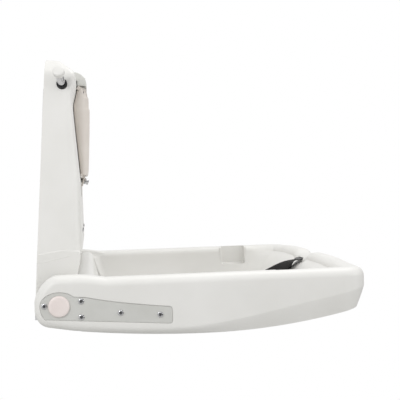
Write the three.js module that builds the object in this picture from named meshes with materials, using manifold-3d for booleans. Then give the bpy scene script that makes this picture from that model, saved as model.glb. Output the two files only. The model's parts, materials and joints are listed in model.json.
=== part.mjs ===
// Wall-mounted baby changing station with its bed folded down.
// Millimetres, +Z up. The wall is the plane y = 0 and the bed reaches out along -Y.
// The origin is the middle of the steel wall frame's rear face.
// Heights are given above the hinge axis, and depths are distances out from the wall.
import * as THREE from "three";
import { mergeVertices } from "three/addons/utils/BufferGeometryUtils.js";
import Module from "manifold-3d";

const wasm = await Module();
wasm.setup();

// Driving dimensions of the whole station
const stationLength = 845; // along the wall
const bedFront = 536; // from the hinge axis to the bed's front face
const hingeFromWall = 52;
const hingeBelowOrigin = 180;
const bedTilt = 3.9; // degrees that the open bed rises towards its front
const clearance = 0.3; // between pieces that touch
const runningGap = 0.4; // between pieces that turn or slide

// Bed, a moulded double-walled basin
const bedBack = 22; // from the hinge axis to the bed's rear face
const bedSkin = 3.5;
const rimHeight = 45.5;
const rimRound = 16;
const rimFlat = 10;
const rimInnerRound = 14;
const frontCornerRadius = 46;
const rearCornerRadius = 8;
const basinCornerRadius = 62;
const basinRearRadius = 18;
const undersideLow = -57.5;
const undersideLowAt = 255; // from the hinge axis
const undersideRearRise = 13.8;
const undersideFrontRise = 36;
const floorGap = 10; // bed floor above the outer underside
const endWallLean = 16;
const frontWallLean = 42;
const rearWallLean = 16;
const wallFootHeight = 4; // where the walls end above the floor
const floorFillet = 18;
const creaseRear = 15; // height of the lower bevel at the rear and at the front
const creaseFront = 34.5;
const creaseBlend = [200, 450];
const bevelInset = 14;
const gripRise = 6.5; // crown of the front rim on both sides of the grip
const gripDip = 1.5;
const gripHalfWidth = 46;
const gripBlend = 30;
const crownStart = 170;
const crownEnd = 395;
const crownDepth = 121; // how far behind the front face the crown starts to rise, and where it is full
const crownFull = 42;

// Ears that carry the hinge at the bed's rear corners
const earThickness = 38;
const earTop = 51;
const earRear = 41.5;
const earReach = 66;
const earRound = 12; // outer edge
const earInnerRound = 4;

// Hinge
const pinRadius = 8;
const pinLength = 105.5;
const plateThickness = 2.5;
const plateRecess = 3;
const plateEnd = 191;
const plateHeadRadius = 32;
const platePad = 12;
const capRadius = 18;
const capHeight = 5;
const plateScrews = [[-24.6, 1.3], [37.3, 7.3], [37.2, -19.5], [103.6, -15], [170.5, -20.8]];
const screwRadius = 2.5;
const screwHeadRadius = 5;
const screwHeadHeight = 2;
const plateScrewLength = 8;
const cheekThickness = 4;
const cheekHalfHeight = 20;
const bushWall = 3;
const bushFlange = 2;
const stopLength = 20;
const stopThickness = 8;
const cheekReach = 21; // in front of the hinge axis, behind the stop
const stopHeights = [-30, -16]; // below the hinge axis, behind the open bed's rear face
const damperRadius = 17;
const damperLength = 48;
const tubeRadius = 12.5;
const tubeBore = 10.5;
const tubePlace = [45, -6]; // out from the hinge axis and up
const tubeSeat = 2.5; // how far the tube goes into the slot's lining

// Back panel
const panelInsetFoot = 54.5; // narrower than the bed at each end
const panelInsetTop = 88.5;
const panelTop = 427;
const panelRear = 10; // the rear edge stands off the wall
const panelSkin = 4;
const panelFoot = 67;
const panelFootRise = 20; // the lower edge rises towards the front
const panelFootDepth = 20; // depth where that rise starts
const panelCornerFoot = 18;
const panelCornerTop = 8;
const panelDepths = [
  [67, 87.5],
  [217, 78.5],
  [339, 61],
  [361, 58.5],
  [382, 63],
  [407, 65],
  [421, 42.5],
  [427, 34.5],
]; // height and depth of the front face
const panelShoulder = 400; // height where the upper corners start to lean in
const panelShoulderLean = 22;
const skirtInset = 55; // side skirts that reach down to the hinge
const skirtThickness = 6;
const skirtGap = 2.5;
const skirtFoot = -24;
const skirtReach = 28; // in front of the hinge axis
const skirtFlare = 5; // further forward where it meets the panel
const skirtTop = 75; // at its front; the folded bed passes above
const skirtEdge = 2;
const bossHalf = 9;
const bossPlaces = [[122, 120], [122, 345]];

// Steel wall frame
const frameThickness = 3;
const frameFoot = -31;
const frameTop = 391;
const frameHalfWidth = 134; // the wall plate stays hidden behind the panel
const railTop = 14; // the rail across the plate's foot carries the hinge cheeks
const wallBoltRadius = 5;
const boltSpacing = 200;
const wallBoltRise = 110; // above and below the origin

// Bag hooks
const hookHeight = 383.5;
const hookDepth = 41.5;
const hookReach = 42; // sideways, back to the wall and up
const hookBack = 5.8;
const hookRise = 19;
const hookShankRadius = 6.9;
const hookCapRadius = 10.5;
const hookCapLength = 10;
const hookBezelRadius = 10;
const hookLength = 40;
const bezelSeat = 7; // how far the bezel goes into the panel's side, and how far it stands out
const bezelLip = 5.5;
const hookNutRadius = 9.8;
const hookNutHeight = 5.7;
const pocketStart = 375; // from the hinge axis along the bed
const pocketLength = 57;
const pocketFloor = 2;
const pocketDepth = 22;

// Liner dispenser
const dispenserHalf = 150;
const doorFront = 92.5;
const doorFoot = 227;
const doorHead = 395;
const doorBelly = 295; // height of the widest place
const doorCreases = [357, 379]; // heights where the face leans back
const doorWall = 3;
const doorRounding = 26; // its ends curve back to the panel
const doorGap = 1.2; // in front of the panel
const doorSlit = [377.6, 401]; // heights of the slits that let the hood's tabs pass
const hoodTop = 425;
const hoodFront = 83.5;
const hoodFoot = 399;
const hoodWall = 3.5;
const doorPinRadius = 2.5;
const tabPlace = [134.4, 137.6]; // the hood's tabs, from the middle
const tabKnuckle = 5.5; // radius round the pin, in the tabs and in the door's ribs beside them
const tabRib = 4;
const doorLean = 0.3; // slope of the door's rear edge above the pin
const doorPin = [76.5, 387.5]; // depth and height of the door's axis
const chinHalf = 35;
const chinTop = [87.5, 231];
const chinFoot = 206;
const lockTurnDown = 12; // degrees that the lock points below level
const lockHeight = 217;
const lockRadius = 8;
const lockHead = 9.4; // stands out of the chin, with a groove round it
const lockGroove = [3.2, 5.2];
const barrelRadius = 6;
const barrelLength = 22;
const camLength = 20;
const camHalf = 4;
const camThickness = 2.5;
const slotHalf = 110;
const slotFoot = 184;
const slotHead = 385;
const binDepth = 30; // depth of the liner bin's rear face
const binWall = 2.5;
const keeper = [235, 243]; // heights of the bar that the lock's cam turns behind
const linerCount = 4;
const linerThickness = 5;
const linerHeight = 150;
const linerHalf = 98;

// Safety strap
const strapWidth = 50;
const strapThickness = 2;
const buckleStart = 144; // from the hinge axis
const socketLength = 34;
const tongueLength = 26;
const buckleHalf = 32;
const buckleHeight = 9;
const buckleWall = 2;
const pressTravel = 2.5;
const strapSlot = [44, 30]; // distances behind the front face, through the wall under the dip of the rim
const strapSlotHeights = [32.6, 38.4];
const strapExit = 35.5;
const frontAnchorBack = 26.2; // behind the front face
const frontAnchorFoot = 30;
const frontAnchorThickness = 9.4;
const anchorLength = 22;
const anchorHeight = 4;
const anchorSide = 7; // width of an anchor beside the webbing
const rearAnchorAt = [116, -38.3]; // out from the hinge axis and up
const rearAnchorTilt = 4.2; // degrees, along the floor's slope

// Worked out from the driving dimensions
const halfLength = stationLength / 2;
const panelHalfWidthFoot = halfLength - panelInsetFoot;
const panelHalfWidthTop = halfLength - panelInsetTop;
const skirtOuter = halfLength - skirtInset;
const radians = Math.PI / 180;
const basinInset = rimRound + rimFlat + rimInnerRound;
const skirtInner = skirtOuter - skirtThickness;
const cheekOuter = skirtInner - clearance;
const cheekInner = cheekOuter - cheekThickness;
const skirtSlot = [skirtInner - skirtGap, skirtOuter + skirtGap]; // in the bed's rear rim
const bushRadius = pinRadius + runningGap + bushWall;
const platePocket = halfLength - plateRecess;
const pinInner = platePocket - pinLength;
const past = 120; // depth beyond the panel's front face, for cuts that go right through

const matte = (color, roughness, metalness = 0) =>
  new THREE.MeshStandardMaterial({ color, roughness, metalness });
const material = {
  shell: matte(0xe9e8e4, 0.42),
  cover: matte(0xdcdad5, 0.5),
  door: matte(0xd9d1ca, 0.4),
  cap: matte(0xe6dedb, 0.4),
  hinge: matte(0xc9c8c4, 0.45, 0.6),
  frame: matte(0xdcdcde, 0.5, 0.3),
  steel: matte(0xa9abae, 0.4, 0.9),
  chrome: matte(0xd8d8da, 0.15, 1),
  strap: matte(0x17161a, 0.85),
  buckle: matte(0x1b1b1d, 0.5),
  rubber: matte(0x2a2a2b, 0.9),
  paper: matte(0xefece6, 0.9),
  bush: matte(0xcfcac0, 0.5),
};

// A closed triangle mesh as a solid that can be cut and joined
function solidOf(geometry) {
  const bare = new THREE.BufferGeometry();
  bare.setAttribute("position", geometry.getAttribute("position"));
  bare.setIndex(geometry.getIndex());
  const merged = mergeVertices(bare, 1e-4);
  const points = merged.getAttribute("position");
  const corners = [...merged.getIndex().array];
  const at = (i) => new THREE.Vector3().fromBufferAttribute(points, i);
  const faces = [];
  let volume = 0;
  for (let i = 0; i < corners.length; i += 3) {
    const [a, b, c] = corners.slice(i, i + 3);
    if (a === b || b === c || c === a) continue;
    faces.push([a, b, c]);
    volume += at(a).dot(at(b).cross(at(c)));
  }
  const triVerts = new Uint32Array((volume < 0 ? faces.map(([a, b, c]) => [a, c, b]) : faces).flat());
  const vertProperties = new Float32Array(points.array);
  return new wasm.Manifold(new wasm.Mesh({ numProp: 3, vertProperties, triVerts }));
}

function geometryOf(solid) {
  const mesh = solid.getMesh();
  const geometry = new THREE.BufferGeometry();
  geometry.setAttribute("position", new THREE.BufferAttribute(new Float32Array(mesh.vertProperties), 3));
  geometry.setIndex(new THREE.BufferAttribute(new Uint32Array(mesh.triVerts), 1));
  return geometry;
}

const join = (first, ...rest) => rest.reduce((a, b) => a.add(b), first);
const cut = (first, ...tools) => tools.reduce((a, b) => a.subtract(b), first);

function piece(name, solid, look) {
  const mesh = new THREE.Mesh(geometryOf(solid), look);
  mesh.name = name;
  return mesh;
}

// Outlines are drawn from the side: x is the depth and y the height.
const sideways = new THREE.Matrix4().makeBasis(
  new THREE.Vector3(0, -1, 0),
  new THREE.Vector3(0, 0, 1),
  new THREE.Vector3(-1, 0, 0),
);

// A side outline carried along the wall between two places, with rounded ends where asked
function alongWall(shape, from, to, round = 0) {
  const geometry = new THREE.ExtrudeGeometry(shape, {
    depth: Math.abs(to - from) - 2 * round,
    curveSegments: 8,
    bevelEnabled: round > 0,
    bevelThickness: round,
    bevelSize: round,
    bevelOffset: -round,
    bevelSegments: 3,
  });
  geometry.applyMatrix4(sideways);
  geometry.translate(Math.max(from, to) - round, 0, 0);
  return solidOf(geometry);
}

const polygon = (points) => new THREE.Shape(points.map(([x, y]) => new THREE.Vector2(x, y)));

function box([x0, x1], [d0, d1], [z0, z1]) {
  const geometry = new THREE.BoxGeometry(Math.abs(x1 - x0), d1 - d0, z1 - z0);
  geometry.translate((x0 + x1) / 2, -(d0 + d1) / 2, (z0 + z1) / 2);
  return solidOf(geometry);
}

// A turned piece: [radius, distance along the axis] rows, from a point in a direction
function turned(profile, from, direction, sidesRound = 18) {
  const rows = profile.map(([radius, distance]) => new THREE.Vector2(radius, distance));
  const geometry = new THREE.LatheGeometry(rows, sidesRound);
  const axis = new THREE.Vector3(...direction).normalize();
  const turn = new THREE.Quaternion().setFromUnitVectors(new THREE.Vector3(0, 1, 0), axis);
  geometry.applyQuaternion(turn);
  geometry.translate(...from);
  return solidOf(geometry);
}

const rod = (radius, from, direction, start, end, sidesRound) =>
  turned([[0, start], [radius, start], [radius, end], [0, end]], from, direction, sidesRound);

// A screw that points along the direction, its head behind the starting point
const screw = (from, direction, length, radius = screwRadius) =>
  turned(
    [
      [0, -screwHeadHeight],
      [0.6 * screwHeadRadius, -screwHeadHeight],
      [screwHeadRadius, -0.35 * screwHeadHeight],
      [screwHeadRadius, 0],
      [radius, 0],
      [radius, length],
      [0, length],
    ],
    from,
    direction,
    10,
  );

// A skin through rings of equally many points, closed by a fan at each end.
// The columns from `turnedFrom` on are split along their other diagonal.
function loft(rings, turnedFrom = Infinity) {
  const count = rings[0].length;
  const points = rings.flat();
  const faces = [];
  for (let r = 0; r + 1 < rings.length; r++)
    for (let i = 0; i < count; i++) {
      const a = r * count + i;
      const b = r * count + ((i + 1) % count);
      if (i < turnedFrom) faces.push(a, b, b + count, a, b + count, a + count);
      else faces.push(a, b, a + count, b, b + count, a + count);
    }
  const closeEnd = (ring, first, flip) => {
    const hub = points.length;
    points.push(ring.reduce((sum, p) => sum.add(p), new THREE.Vector3()).divideScalar(count));
    for (let i = 0; i < count; i++) {
      const a = first + i;
      const b = first + ((i + 1) % count);
      faces.push(...(flip ? [hub, b, a] : [hub, a, b]));
    }
  };
  closeEnd(rings[0], 0, true);
  closeEnd(rings[rings.length - 1], (rings.length - 1) * count, false);
  const geometry = new THREE.BufferGeometry().setFromPoints(points);
  geometry.setIndex(faces);
  return solidOf(geometry);
}

const mix = THREE.MathUtils.lerp;
const ease = (x, low, high) => THREE.MathUtils.smoothstep(x, low, high);

// A value read between [place, value] rows
function readOff(rows, place) {
  const next = rows.findIndex(([x]) => x >= place);
  if (next === 0) return rows[0][1];
  if (next < 0) return rows[rows.length - 1][1];
  const [x0, y0] = rows[next - 1];
  const [x1, y1] = rows[next];
  return mix(y0, y1, (place - x0) / (x1 - x0));
}

const sides = [["left", -1], ["right", 1]];

// Back panel
const panelFront = (z) => readOff(panelDepths, z);
const panelBends = panelDepths.slice(2, 4).map(([z]) => z); // the hollow behind the dispenser's door
const panelHalf = (z) =>
  mix(panelHalfWidthFoot, panelHalfWidthTop, (z - panelFoot) / (panelTop - panelFoot)) -
  panelShoulderLean * ease(z, panelShoulder, panelTop + 4);

// One level ring of the panel, seen from above, drawn in by an inset
function panelRing(z, inset, rear) {
  const half = panelHalf(z) - inset;
  const depth = panelFront(z) - inset;
  const round = mix(panelCornerFoot, panelCornerTop, ease(z, 200, 380)) - inset / 2;
  const frontSteps = 4;
  const cornerSteps = 4;
  const plan = [];
  for (let i = 0; i <= frontSteps; i++) plan.push([mix(round - half, half - round, i / frontSteps), depth]);
  for (let i = 1; i <= cornerSteps; i++) {
    const angle = (i / cornerSteps) * (Math.PI / 2);
    plan.push([half - round + round * Math.sin(angle), depth - round + round * Math.cos(angle)]);
  }
  plan.push([half, rear], [-half, rear]);
  for (let i = cornerSteps; i >= 1; i--) {
    const angle = (i / cornerSteps) * (Math.PI / 2);
    plan.push([round - half - round * Math.sin(angle), depth - round + round * Math.cos(angle)]);
  }
  const footSlope = panelFootRise / (panelFront(panelFoot) - panelFootDepth);
  const footRise = (d) => footSlope * Math.max(0, d - panelFootDepth);
  const lift = (d) => footRise(d) * (1 - ease(z, panelFoot, 200));
  return plan.map(([x, d]) => new THREE.Vector3(x, -d, z + lift(d)));
}

// The skirt beside the hinge, seen from the side
function skirtOutline() {
  const shape = new THREE.Shape();
  shape.moveTo(panelRear, panelFoot + panelSkin);
  shape.lineTo(panelRear, skirtFoot);
  shape.lineTo(hingeFromWall, skirtFoot);
  shape.absarc(hingeFromWall, 0, -skirtFoot, -90 * radians, 0, false);
  const front = hingeFromWall + skirtReach;
  shape.lineTo(front, 40);
  shape.quadraticCurveTo(front + 2, 60, front + skirtFlare, skirtTop - 7);
  shape.lineTo(front + 3, skirtTop - 1.5);
  shape.lineTo(hingeFromWall, skirtTop + 4);
  return shape;
}

function makePanel() {
  const levels = [150, 280, ...panelDepths.slice(1, -1).map(([z]) => z)].sort((a, b) => a - b);
  const outside = loft([panelFoot, ...levels, panelTop].map((z) => panelRing(z, 0, panelRear)));
  const innerLevels = [panelFoot + panelSkin, ...levels.slice(0, -1), panelTop - 11];
  const inside = loft(innerLevels.map((z) => panelRing(z, panelSkin, panelRear - panelSkin)));
  let shell = cut(outside, inside);
  for (const [x, z] of bossPlaces)
    for (const side of [-1, 1]) {
      const across = [side * (x - bossHalf), side * (x + bossHalf)];
      const depths = [frameThickness + clearance, panelFront(z) - panelSkin / 2];
      shell = shell.add(box(across, depths, [z - bossHalf, z + bossHalf]));
      shell = cut(shell, rod(screwRadius + clearance, [side * x, 0, z], [0, -1, 0], 0, past, 12));
    }
  for (const side of [-1, 1]) {
    shell = shell.add(alongWall(skirtOutline(), side * skirtInner, side * skirtOuter, skirtEdge));
    const bore = rod(bushRadius + 4, [0, -hingeFromWall, 0], [side, 0, 0], skirtInner - 5, skirtOuter + 5);
    shell = cut(shell, hookTool(side), bore);
  }
  return cut(shell, box([-slotHalf, slotHalf], [binDepth, past], [slotFoot, slotHead]));
}

// Bag hooks: a peg through a bezel in the panel's side, with a cap and a nut inside
const hookFrom = (side) => [side * panelHalf(hookHeight), -hookDepth, hookHeight];
const hookAlong = (side) => [side * hookReach, hookBack, hookRise];
const hookTool = (side) => rod(hookBezelRadius + clearance, hookFrom(side), hookAlong(side), -22, 12);

function makeHook(label, side) {
  const from = hookFrom(side);
  const direction = hookAlong(side);
  const bore = hookShankRadius + clearance;
  const socket = hookLength - 6;
  const bezel = [
    [bore, -bezelSeat],
    [hookBezelRadius, -bezelSeat],
    [hookBezelRadius, bezelLip - 1.2],
    [hookBezelRadius - 0.8, bezelLip],
    [bore, bezelLip],
    [bore, -bezelSeat],
  ];
  const dome = hookCapRadius - 3;
  const cap = [
    [0, hookLength + clearance],
    [bore, hookLength + clearance],
    [bore, socket],
    [hookCapRadius - 1, socket],
    [hookCapRadius, socket + 1.5],
    [hookCapRadius, socket + hookCapLength - 3],
    [dome, socket + hookCapLength],
    [0, socket + hookCapLength + 0.8],
  ];
  const nutBore = bore / Math.cos(Math.PI / 6);
  const nutFace = -bezelSeat - clearance;
  const nutBack = nutFace - hookNutHeight;
  const nut = [
    [nutBore, nutBack],
    [hookNutRadius, nutBack],
    [hookNutRadius, nutFace],
    [nutBore, nutFace],
    [nutBore, nutBack],
  ];
  const shank = rod(hookShankRadius, from, direction, nutBack - 2, hookLength);
  return [
    piece(`hook_bezel_${label}`, turned(bezel, from, direction), material.rubber),
    piece(`hook_shank_${label}`, shank, material.chrome),
    piece(`hook_cap_${label}`, turned(cap, from, direction), material.shell),
    piece(`hook_nut_${label}`, turned(nut, from, direction, 6), material.steel),
  ];
}

// Steel wall frame: a plate on the wall and a rail with a hinge cheek bent forward at each end
function cheekOutline() {
  const shape = new THREE.Shape();
  const front = hingeFromWall + cheekReach;
  shape.moveTo(panelRear, frameFoot);
  shape.lineTo(front - 5, frameFoot);
  shape.lineTo(front, frameFoot + 5);
  shape.lineTo(front, stopHeights[1]);
  shape.absarc(hingeFromWall, 0, cheekHalfHeight, -18 * radians, 90 * radians, false);
  shape.lineTo(panelRear, cheekHalfHeight);
  return shape;
}

function makeFrame() {
  const railFront = panelRear + frameThickness;
  let frame = join(
    box([-frameHalfWidth, frameHalfWidth], [0, frameThickness], [frameFoot, frameTop]),
    box([-frameHalfWidth, frameHalfWidth], [1, railFront], [frameFoot, railTop]),
    box([-cheekOuter, cheekOuter], [panelRear, railFront], [frameFoot, railTop]),
  );
  for (const [, side] of sides) {
    frame = frame.add(alongWall(cheekOutline(), side * cheekInner, side * cheekOuter));
    const bore = bushRadius + clearance;
    frame = cut(frame, rod(bore, [0, -hingeFromWall, 0], [side, 0, 0], cheekInner - 5, cheekOuter + 5));
    for (const rise of [-wallBoltRise, wallBoltRise]) {
      const at = [(side * boltSpacing) / 2, 0, hingeBelowOrigin + rise];
      frame = cut(frame, rod(wallBoltRadius, at, [0, -1, 0], -2, 8, 12));
    }
    for (const [x, z] of bossPlaces)
      frame = cut(frame, rod(screwRadius + clearance, [side * x, 0, z], [0, -1, 0], -2, 8, 12));
  }
  return frame;
}

function makePanelScrews() {
  const made = [];
  for (const [x, z] of bossPlaces)
    for (const [label, side] of sides) {
      const depth = panelFront(z) + 1.5;
      const level = z > 200 ? "upper" : "lower";
      const body = screw([side * x, -depth, z], [0, 1, 0], depth - 0.5);
      made.push(piece(`panel_screw_${level}_${label}`, body, material.chrome));
    }
  return made;
}

// Bush in the cheek, damper behind it and the rubber that the open bed rests on
function makeHingeSeat(label, side) {
  const axis = [0, -hingeFromWall, 0];
  const bore = pinRadius + runningGap;
  const flange = cheekOuter + clearance;
  const bush = [
    [bore, cheekInner],
    [bushRadius, cheekInner],
    [bushRadius, flange],
    [bushRadius + 3, flange],
    [bushRadius + 3, flange + bushFlange],
    [bore, flange + bushFlange],
    [bore, cheekInner],
  ];
  const seat = cheekInner - clearance;
  const damper = [
    [0, seat - damperLength],
    [damperRadius - 2, seat - damperLength],
    [damperRadius, seat - damperLength + 2],
    [damperRadius, seat - 4],
    [cheekHalfHeight - 1, seat - 4],
    [cheekHalfHeight - 1, seat],
    [bore, seat],
    [bore, pinInner - 1],
    [0, pinInner - 1],
  ];
  return [
    piece(`pivot_bush_${label}`, turned(bush, axis, [side, 0, 0]), material.bush),
    piece(`hinge_damper_${label}`, turned(damper, axis, [side, 0, 0]), material.rubber),
  ];
}

const makeOpenStop = (side) =>
  box(
    [side * (cheekInner - stopLength), side * (cheekInner - clearance)],
    [bedBack - stopThickness, bedBack - clearance],
    stopHeights,
  );

// Liner dispenser: a bin in the panel, a hood on its top edge and a locked door that swings up
function makeBin() {
  const inset = 0.5;
  const top = slotHead - clearance;
  const foot = slotFoot + clearance;
  const front = [foot, ...panelBends, top].map((z) => [panelFront(z) - inset, z]);
  const outer = polygon([[binDepth, foot], ...front, [binDepth, top]]);
  const half = slotHalf - clearance;
  const inner = box(
    [binWall - half, half - binWall],
    [binDepth + binWall, past],
    [foot + binWall, top - binWall],
  );
  const barFront = panelFront(keeper[0]) - 2;
  const bar = box([1 - half, half - 1], [barFront - 4.5, barFront], keeper);
  return join(cut(alongWall(outer, -half, half), inner), bar);
}

// A stack of folded liners, parted at its upper edge
function makeLiners() {
  const foot = slotFoot + binWall + 2 * clearance;
  const top = foot + linerHeight;
  const rear = binDepth + binWall + clearance;
  const folds = [];
  for (let i = linerCount; i > 0; i--) {
    folds.push([rear + i * linerThickness, top], [rear + (i - 1) * linerThickness + 0.8, top]);
    if (i > 1) folds.push([rear + (i - 1) * linerThickness + 0.4, top - 0.8 * linerHeight]);
  }
  const outline = [[rear, foot], [rear + linerCount * linerThickness, foot], ...folds];
  return alongWall(polygon(outline), -linerHalf, linerHalf);
}

const doorPinAt = [0, -doorPin[0], doorPin[1]];

function makeHood() {
  const lip = 4; // how far the hood reaches past the door's ends
  const [knee, brow] = panelDepths.slice(-3);
  const outer = polygon([
    [panelFront(hoodFoot) + 2 * clearance, hoodFoot],
    [hoodFront, hoodFoot],
    [hoodFront - 1, hoodTop - 9],
    [hoodFront - 20, hoodTop],
    [brow[1] + 1, brow[0] + 4.5],
    [brow[1] + clearance, brow[0] + 2 * clearance],
    [knee[1] + clearance, knee[0] + clearance],
  ]);
  const inner = polygon([
    [panelFront(hoodFoot) + hoodWall + 1, hoodFoot - 1],
    [hoodFront - hoodWall, hoodFoot - 1],
    [hoodFront - hoodWall - 1, hoodTop - 12],
    [panelFront(hoodFoot) + hoodWall + 1, hoodTop - 6],
  ]);
  const half = dispenserHalf + lip;
  let hood = cut(alongWall(outer, -half, half, 2), alongWall(inner, hoodWall - half, half - hoodWall));
  const [depth, height] = doorPin;
  for (const side of [-1, 1]) {
    const across = tabPlace.map((x) => side * x);
    hood = hood.add(box(across, [depth - 8, depth + 4], [height, hoodTop - 9]));
    hood = hood.add(rod(tabKnuckle, doorPinAt, [side, 0, 0], ...tabPlace, 20));
    const holeEnds = [tabPlace[0] - 5, tabPlace[1] + 5];
    hood = cut(hood, rod(doorPinRadius + clearance, doorPinAt, [side, 0, 0], ...holeEnds, 14));
  }
  return hood;
}

// The lock sits square on the door's chin.
const lockSlope = Math.tan(lockTurnDown * radians);
const chinDepthAt = (z) => chinTop[0] - (chinTop[1] - z) * lockSlope;
const lockFrom = [0, -chinDepthAt(lockHeight), lockHeight];
const lockAlong = [0, -Math.cos(lockTurnDown * radians), -Math.sin(lockTurnDown * radians)];

// Rear edge of the door; above the pin it leans forward so that it clears the panel as it swings
const doorBack = (z) => panelFront(z) + doorGap + Math.max(0, z - doorPin[1]) * doorLean;

// A side outline carried along the door, its depth shrinking towards the rounded ends
function doorLoft(outline, half, rounding) {
  const turns = [78, 60, 40, 20, 0].map((degrees) => degrees * radians);
  const places = turns.map((a) => [half - rounding * (1 - Math.sin(a)), Math.cos(a)]);
  const rows = [...places, ...places.toReversed().map(([x, share]) => [-x, share])];
  return loft(
    rows.map(([x, share]) =>
      outline.map(([depth, z]) => new THREE.Vector3(x, -mix(doorBack(z), depth, share), z)),
    ),
  );
}

function makeDoor() {
  const rear = [doorHead, doorPin[1], ...panelBends.toReversed(), doorFoot + 4].map((z) => [doorBack(z), z]);
  const face = [
    [doorFront - 1, doorFoot],
    [doorFront + 0.5, doorFoot + 8],
    [doorFront, doorBelly],
    [doorFront - 1.5, doorCreases[0]],
    [doorFront - 3, doorCreases[1]],
    [hoodFront - 1, doorHead],
  ];
  const hollow = 40; // depth well behind the door's rear edge
  const inner = [
    [hollow, doorFoot + doorWall + 3],
    ...face.slice(1, 5).map(([d, z]) => [d - doorWall, z]),
    [hoodFront - doorWall - 2, doorHead - doorWall],
    [hollow, doorHead - doorWall],
  ];
  inner[1][1] = doorFoot + doorWall + 3;
  const chin = polygon([
    [chinDepthAt(chinTop[1]), chinTop[1]],
    [chinDepthAt(chinFoot), chinFoot],
    [chinDepthAt(chinFoot) - doorWall, chinFoot],
    [chinDepthAt(chinTop[1]) - doorWall, chinTop[1]],
  ]);
  let door = cut(
    doorLoft([...rear, ...face], dispenserHalf, doorRounding),
    doorLoft(inner, dispenserHalf - doorWall, doorRounding),
  );
  door = door.add(alongWall(chin, -chinHalf, chinHalf));
  door = cut(door, rod(barrelRadius + runningGap, lockFrom, lockAlong, -12, 6));
  const [depth, height] = doorPin;
  for (const side of [-1, 1]) {
    const slit = [side * (tabPlace[0] - runningGap), side * (tabPlace[1] + runningGap)];
    const ribs = [
      [tabPlace[0] - runningGap - tabRib, tabPlace[0]],
      [tabPlace[1], tabPlace[1] + runningGap + tabRib],
    ];
    for (const rib of ribs) {
      const across = rib.map((x) => side * x);
      const depths = [depth - tabKnuckle, depth + tabKnuckle];
      door = door.add(box(across, depths, [height - tabKnuckle, doorHead - 1]));
    }
    const holeEnds = [tabPlace[0] - 9, tabPlace[1] + 9];
    const bore = rod(doorPinRadius + runningGap, doorPinAt, [side, 0, 0], ...holeEnds, 12);
    door = cut(door, box(slit, [depth - 12, past], doorSlit), bore);
  }
  return door;
}

function makeDoorPin(side) {
  const from = tabPlace[0] - runningGap - tabRib;
  const to = tabPlace[1] + runningGap + tabRib;
  return rod(doorPinRadius, doorPinAt, [side, 0, 0], from, to, 12);
}

function makeLock() {
  const barrelEnd = -barrelLength;
  const barrel = turned(
    [
      [0, barrelEnd],
      [barrelRadius, barrelEnd],
      [barrelRadius, runningGap],
      [lockRadius, runningGap],
      [lockRadius, lockGroove[0]],
      [lockRadius - 1.2, lockGroove[0]],
      [lockRadius - 1.2, lockGroove[1]],
      [lockRadius, lockGroove[1]],
      [lockRadius, lockHead - 1.2],
      [lockRadius - 1.2, lockHead],
      [0, lockHead],
    ],
    lockFrom,
    lockAlong,
  );
  const keyway = new THREE.BoxGeometry(1.6, 3, 8);
  keyway.rotateX(lockTurnDown * radians);
  keyway.translate(...lockFrom.map((place, i) => place + (lockHead - 0.4) * lockAlong[i]));
  const cam = new THREE.BoxGeometry(camLength + camHalf, camThickness, 2 * camHalf);
  cam.translate((camLength - camHalf) / 2, 0, 0);
  cam.rotateX(lockTurnDown * radians);
  const camBack = barrelEnd - clearance - camThickness / 2;
  cam.translate(...lockFrom.map((place, i) => place + camBack * lockAlong[i]));
  return [
    piece("lock_barrel", cut(barrel, solidOf(keyway)), material.chrome),
    piece("lock_cam", solidOf(cam), material.steel),
  ];
}

// Bed: u is the distance out from the hinge axis in the bed's own plane
const underside = (u) =>
  undersideLow +
  (u < undersideLowAt
    ? undersideRearRise * ((undersideLowAt - u) / (undersideLowAt - bedBack)) ** 2
    : undersideFrontRise * ((u - undersideLowAt) / (bedFront - undersideLowAt)) ** 2);
const bedFloor = (u) => underside(u) + floorGap;
const crease = (u) => underside(u) + mix(creaseRear, creaseFront, ease(u, ...creaseBlend));

// The front rim is crowned on both sides of a dip for the hand.
function rimLift(x, u) {
  const crown = gripRise * (1 - ease(Math.abs(x), crownStart, crownEnd));
  const beside = ease(Math.abs(x), gripHalfWidth, gripHalfWidth + gripBlend);
  return mix(-gripDip, crown, beside) * ease(u, bedFront - crownDepth, bedFront - crownFull);
}

// One ring of the bed, seen from above; height is a function of x and u
function planRing(half, back, front, rearRadius, frontRadius, height) {
  const plan = [];
  const corner = (x, u, radius, start, steps) => {
    for (let i = 0; i <= steps; i++) {
      const angle = start + (i / steps) * (Math.PI / 2);
      plan.push([x + radius * Math.cos(angle), u - radius * Math.sin(angle)]);
    }
  };
  const between = (from, to, steps, bend = 1) => {
    for (let i = 1; i < steps; i++) {
      const t = (2 * i) / steps - 1;
      const s = (Math.sign(t) * Math.abs(t) ** bend + 1) / 2;
      plan.push([mix(from[0], to[0], s), mix(from[1], to[1], s)]);
    }
  };
  const rear = back + rearRadius;
  const fore = front - frontRadius;
  corner(half - rearRadius, rear, rearRadius, 0, 3);
  between([half - rearRadius, back], [rearRadius - half, back], 2);
  corner(rearRadius - half, rear, rearRadius, Math.PI / 2, 3);
  between([-half, rear], [-half, fore], 7);
  corner(frontRadius - half, fore, frontRadius, Math.PI, 5);
  between([frontRadius - half, front], [half - frontRadius, front], 18, 1.6);
  corner(half - frontRadius, fore, frontRadius, 1.5 * Math.PI, 5);
  between([half, fore], [half, rear], 7);
  return plan.map(([x, u]) => new THREE.Vector3(x, -u, height(x, u)));
}

// A ring drawn in from the bed's outline
const outlineRing = (inset, height) =>
  planRing(
    halfLength - inset,
    bedBack + inset,
    bedFront - inset,
    Math.max(2, rearCornerRadius - inset),
    Math.max(12, frontCornerRadius - inset),
    height,
  );

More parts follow.
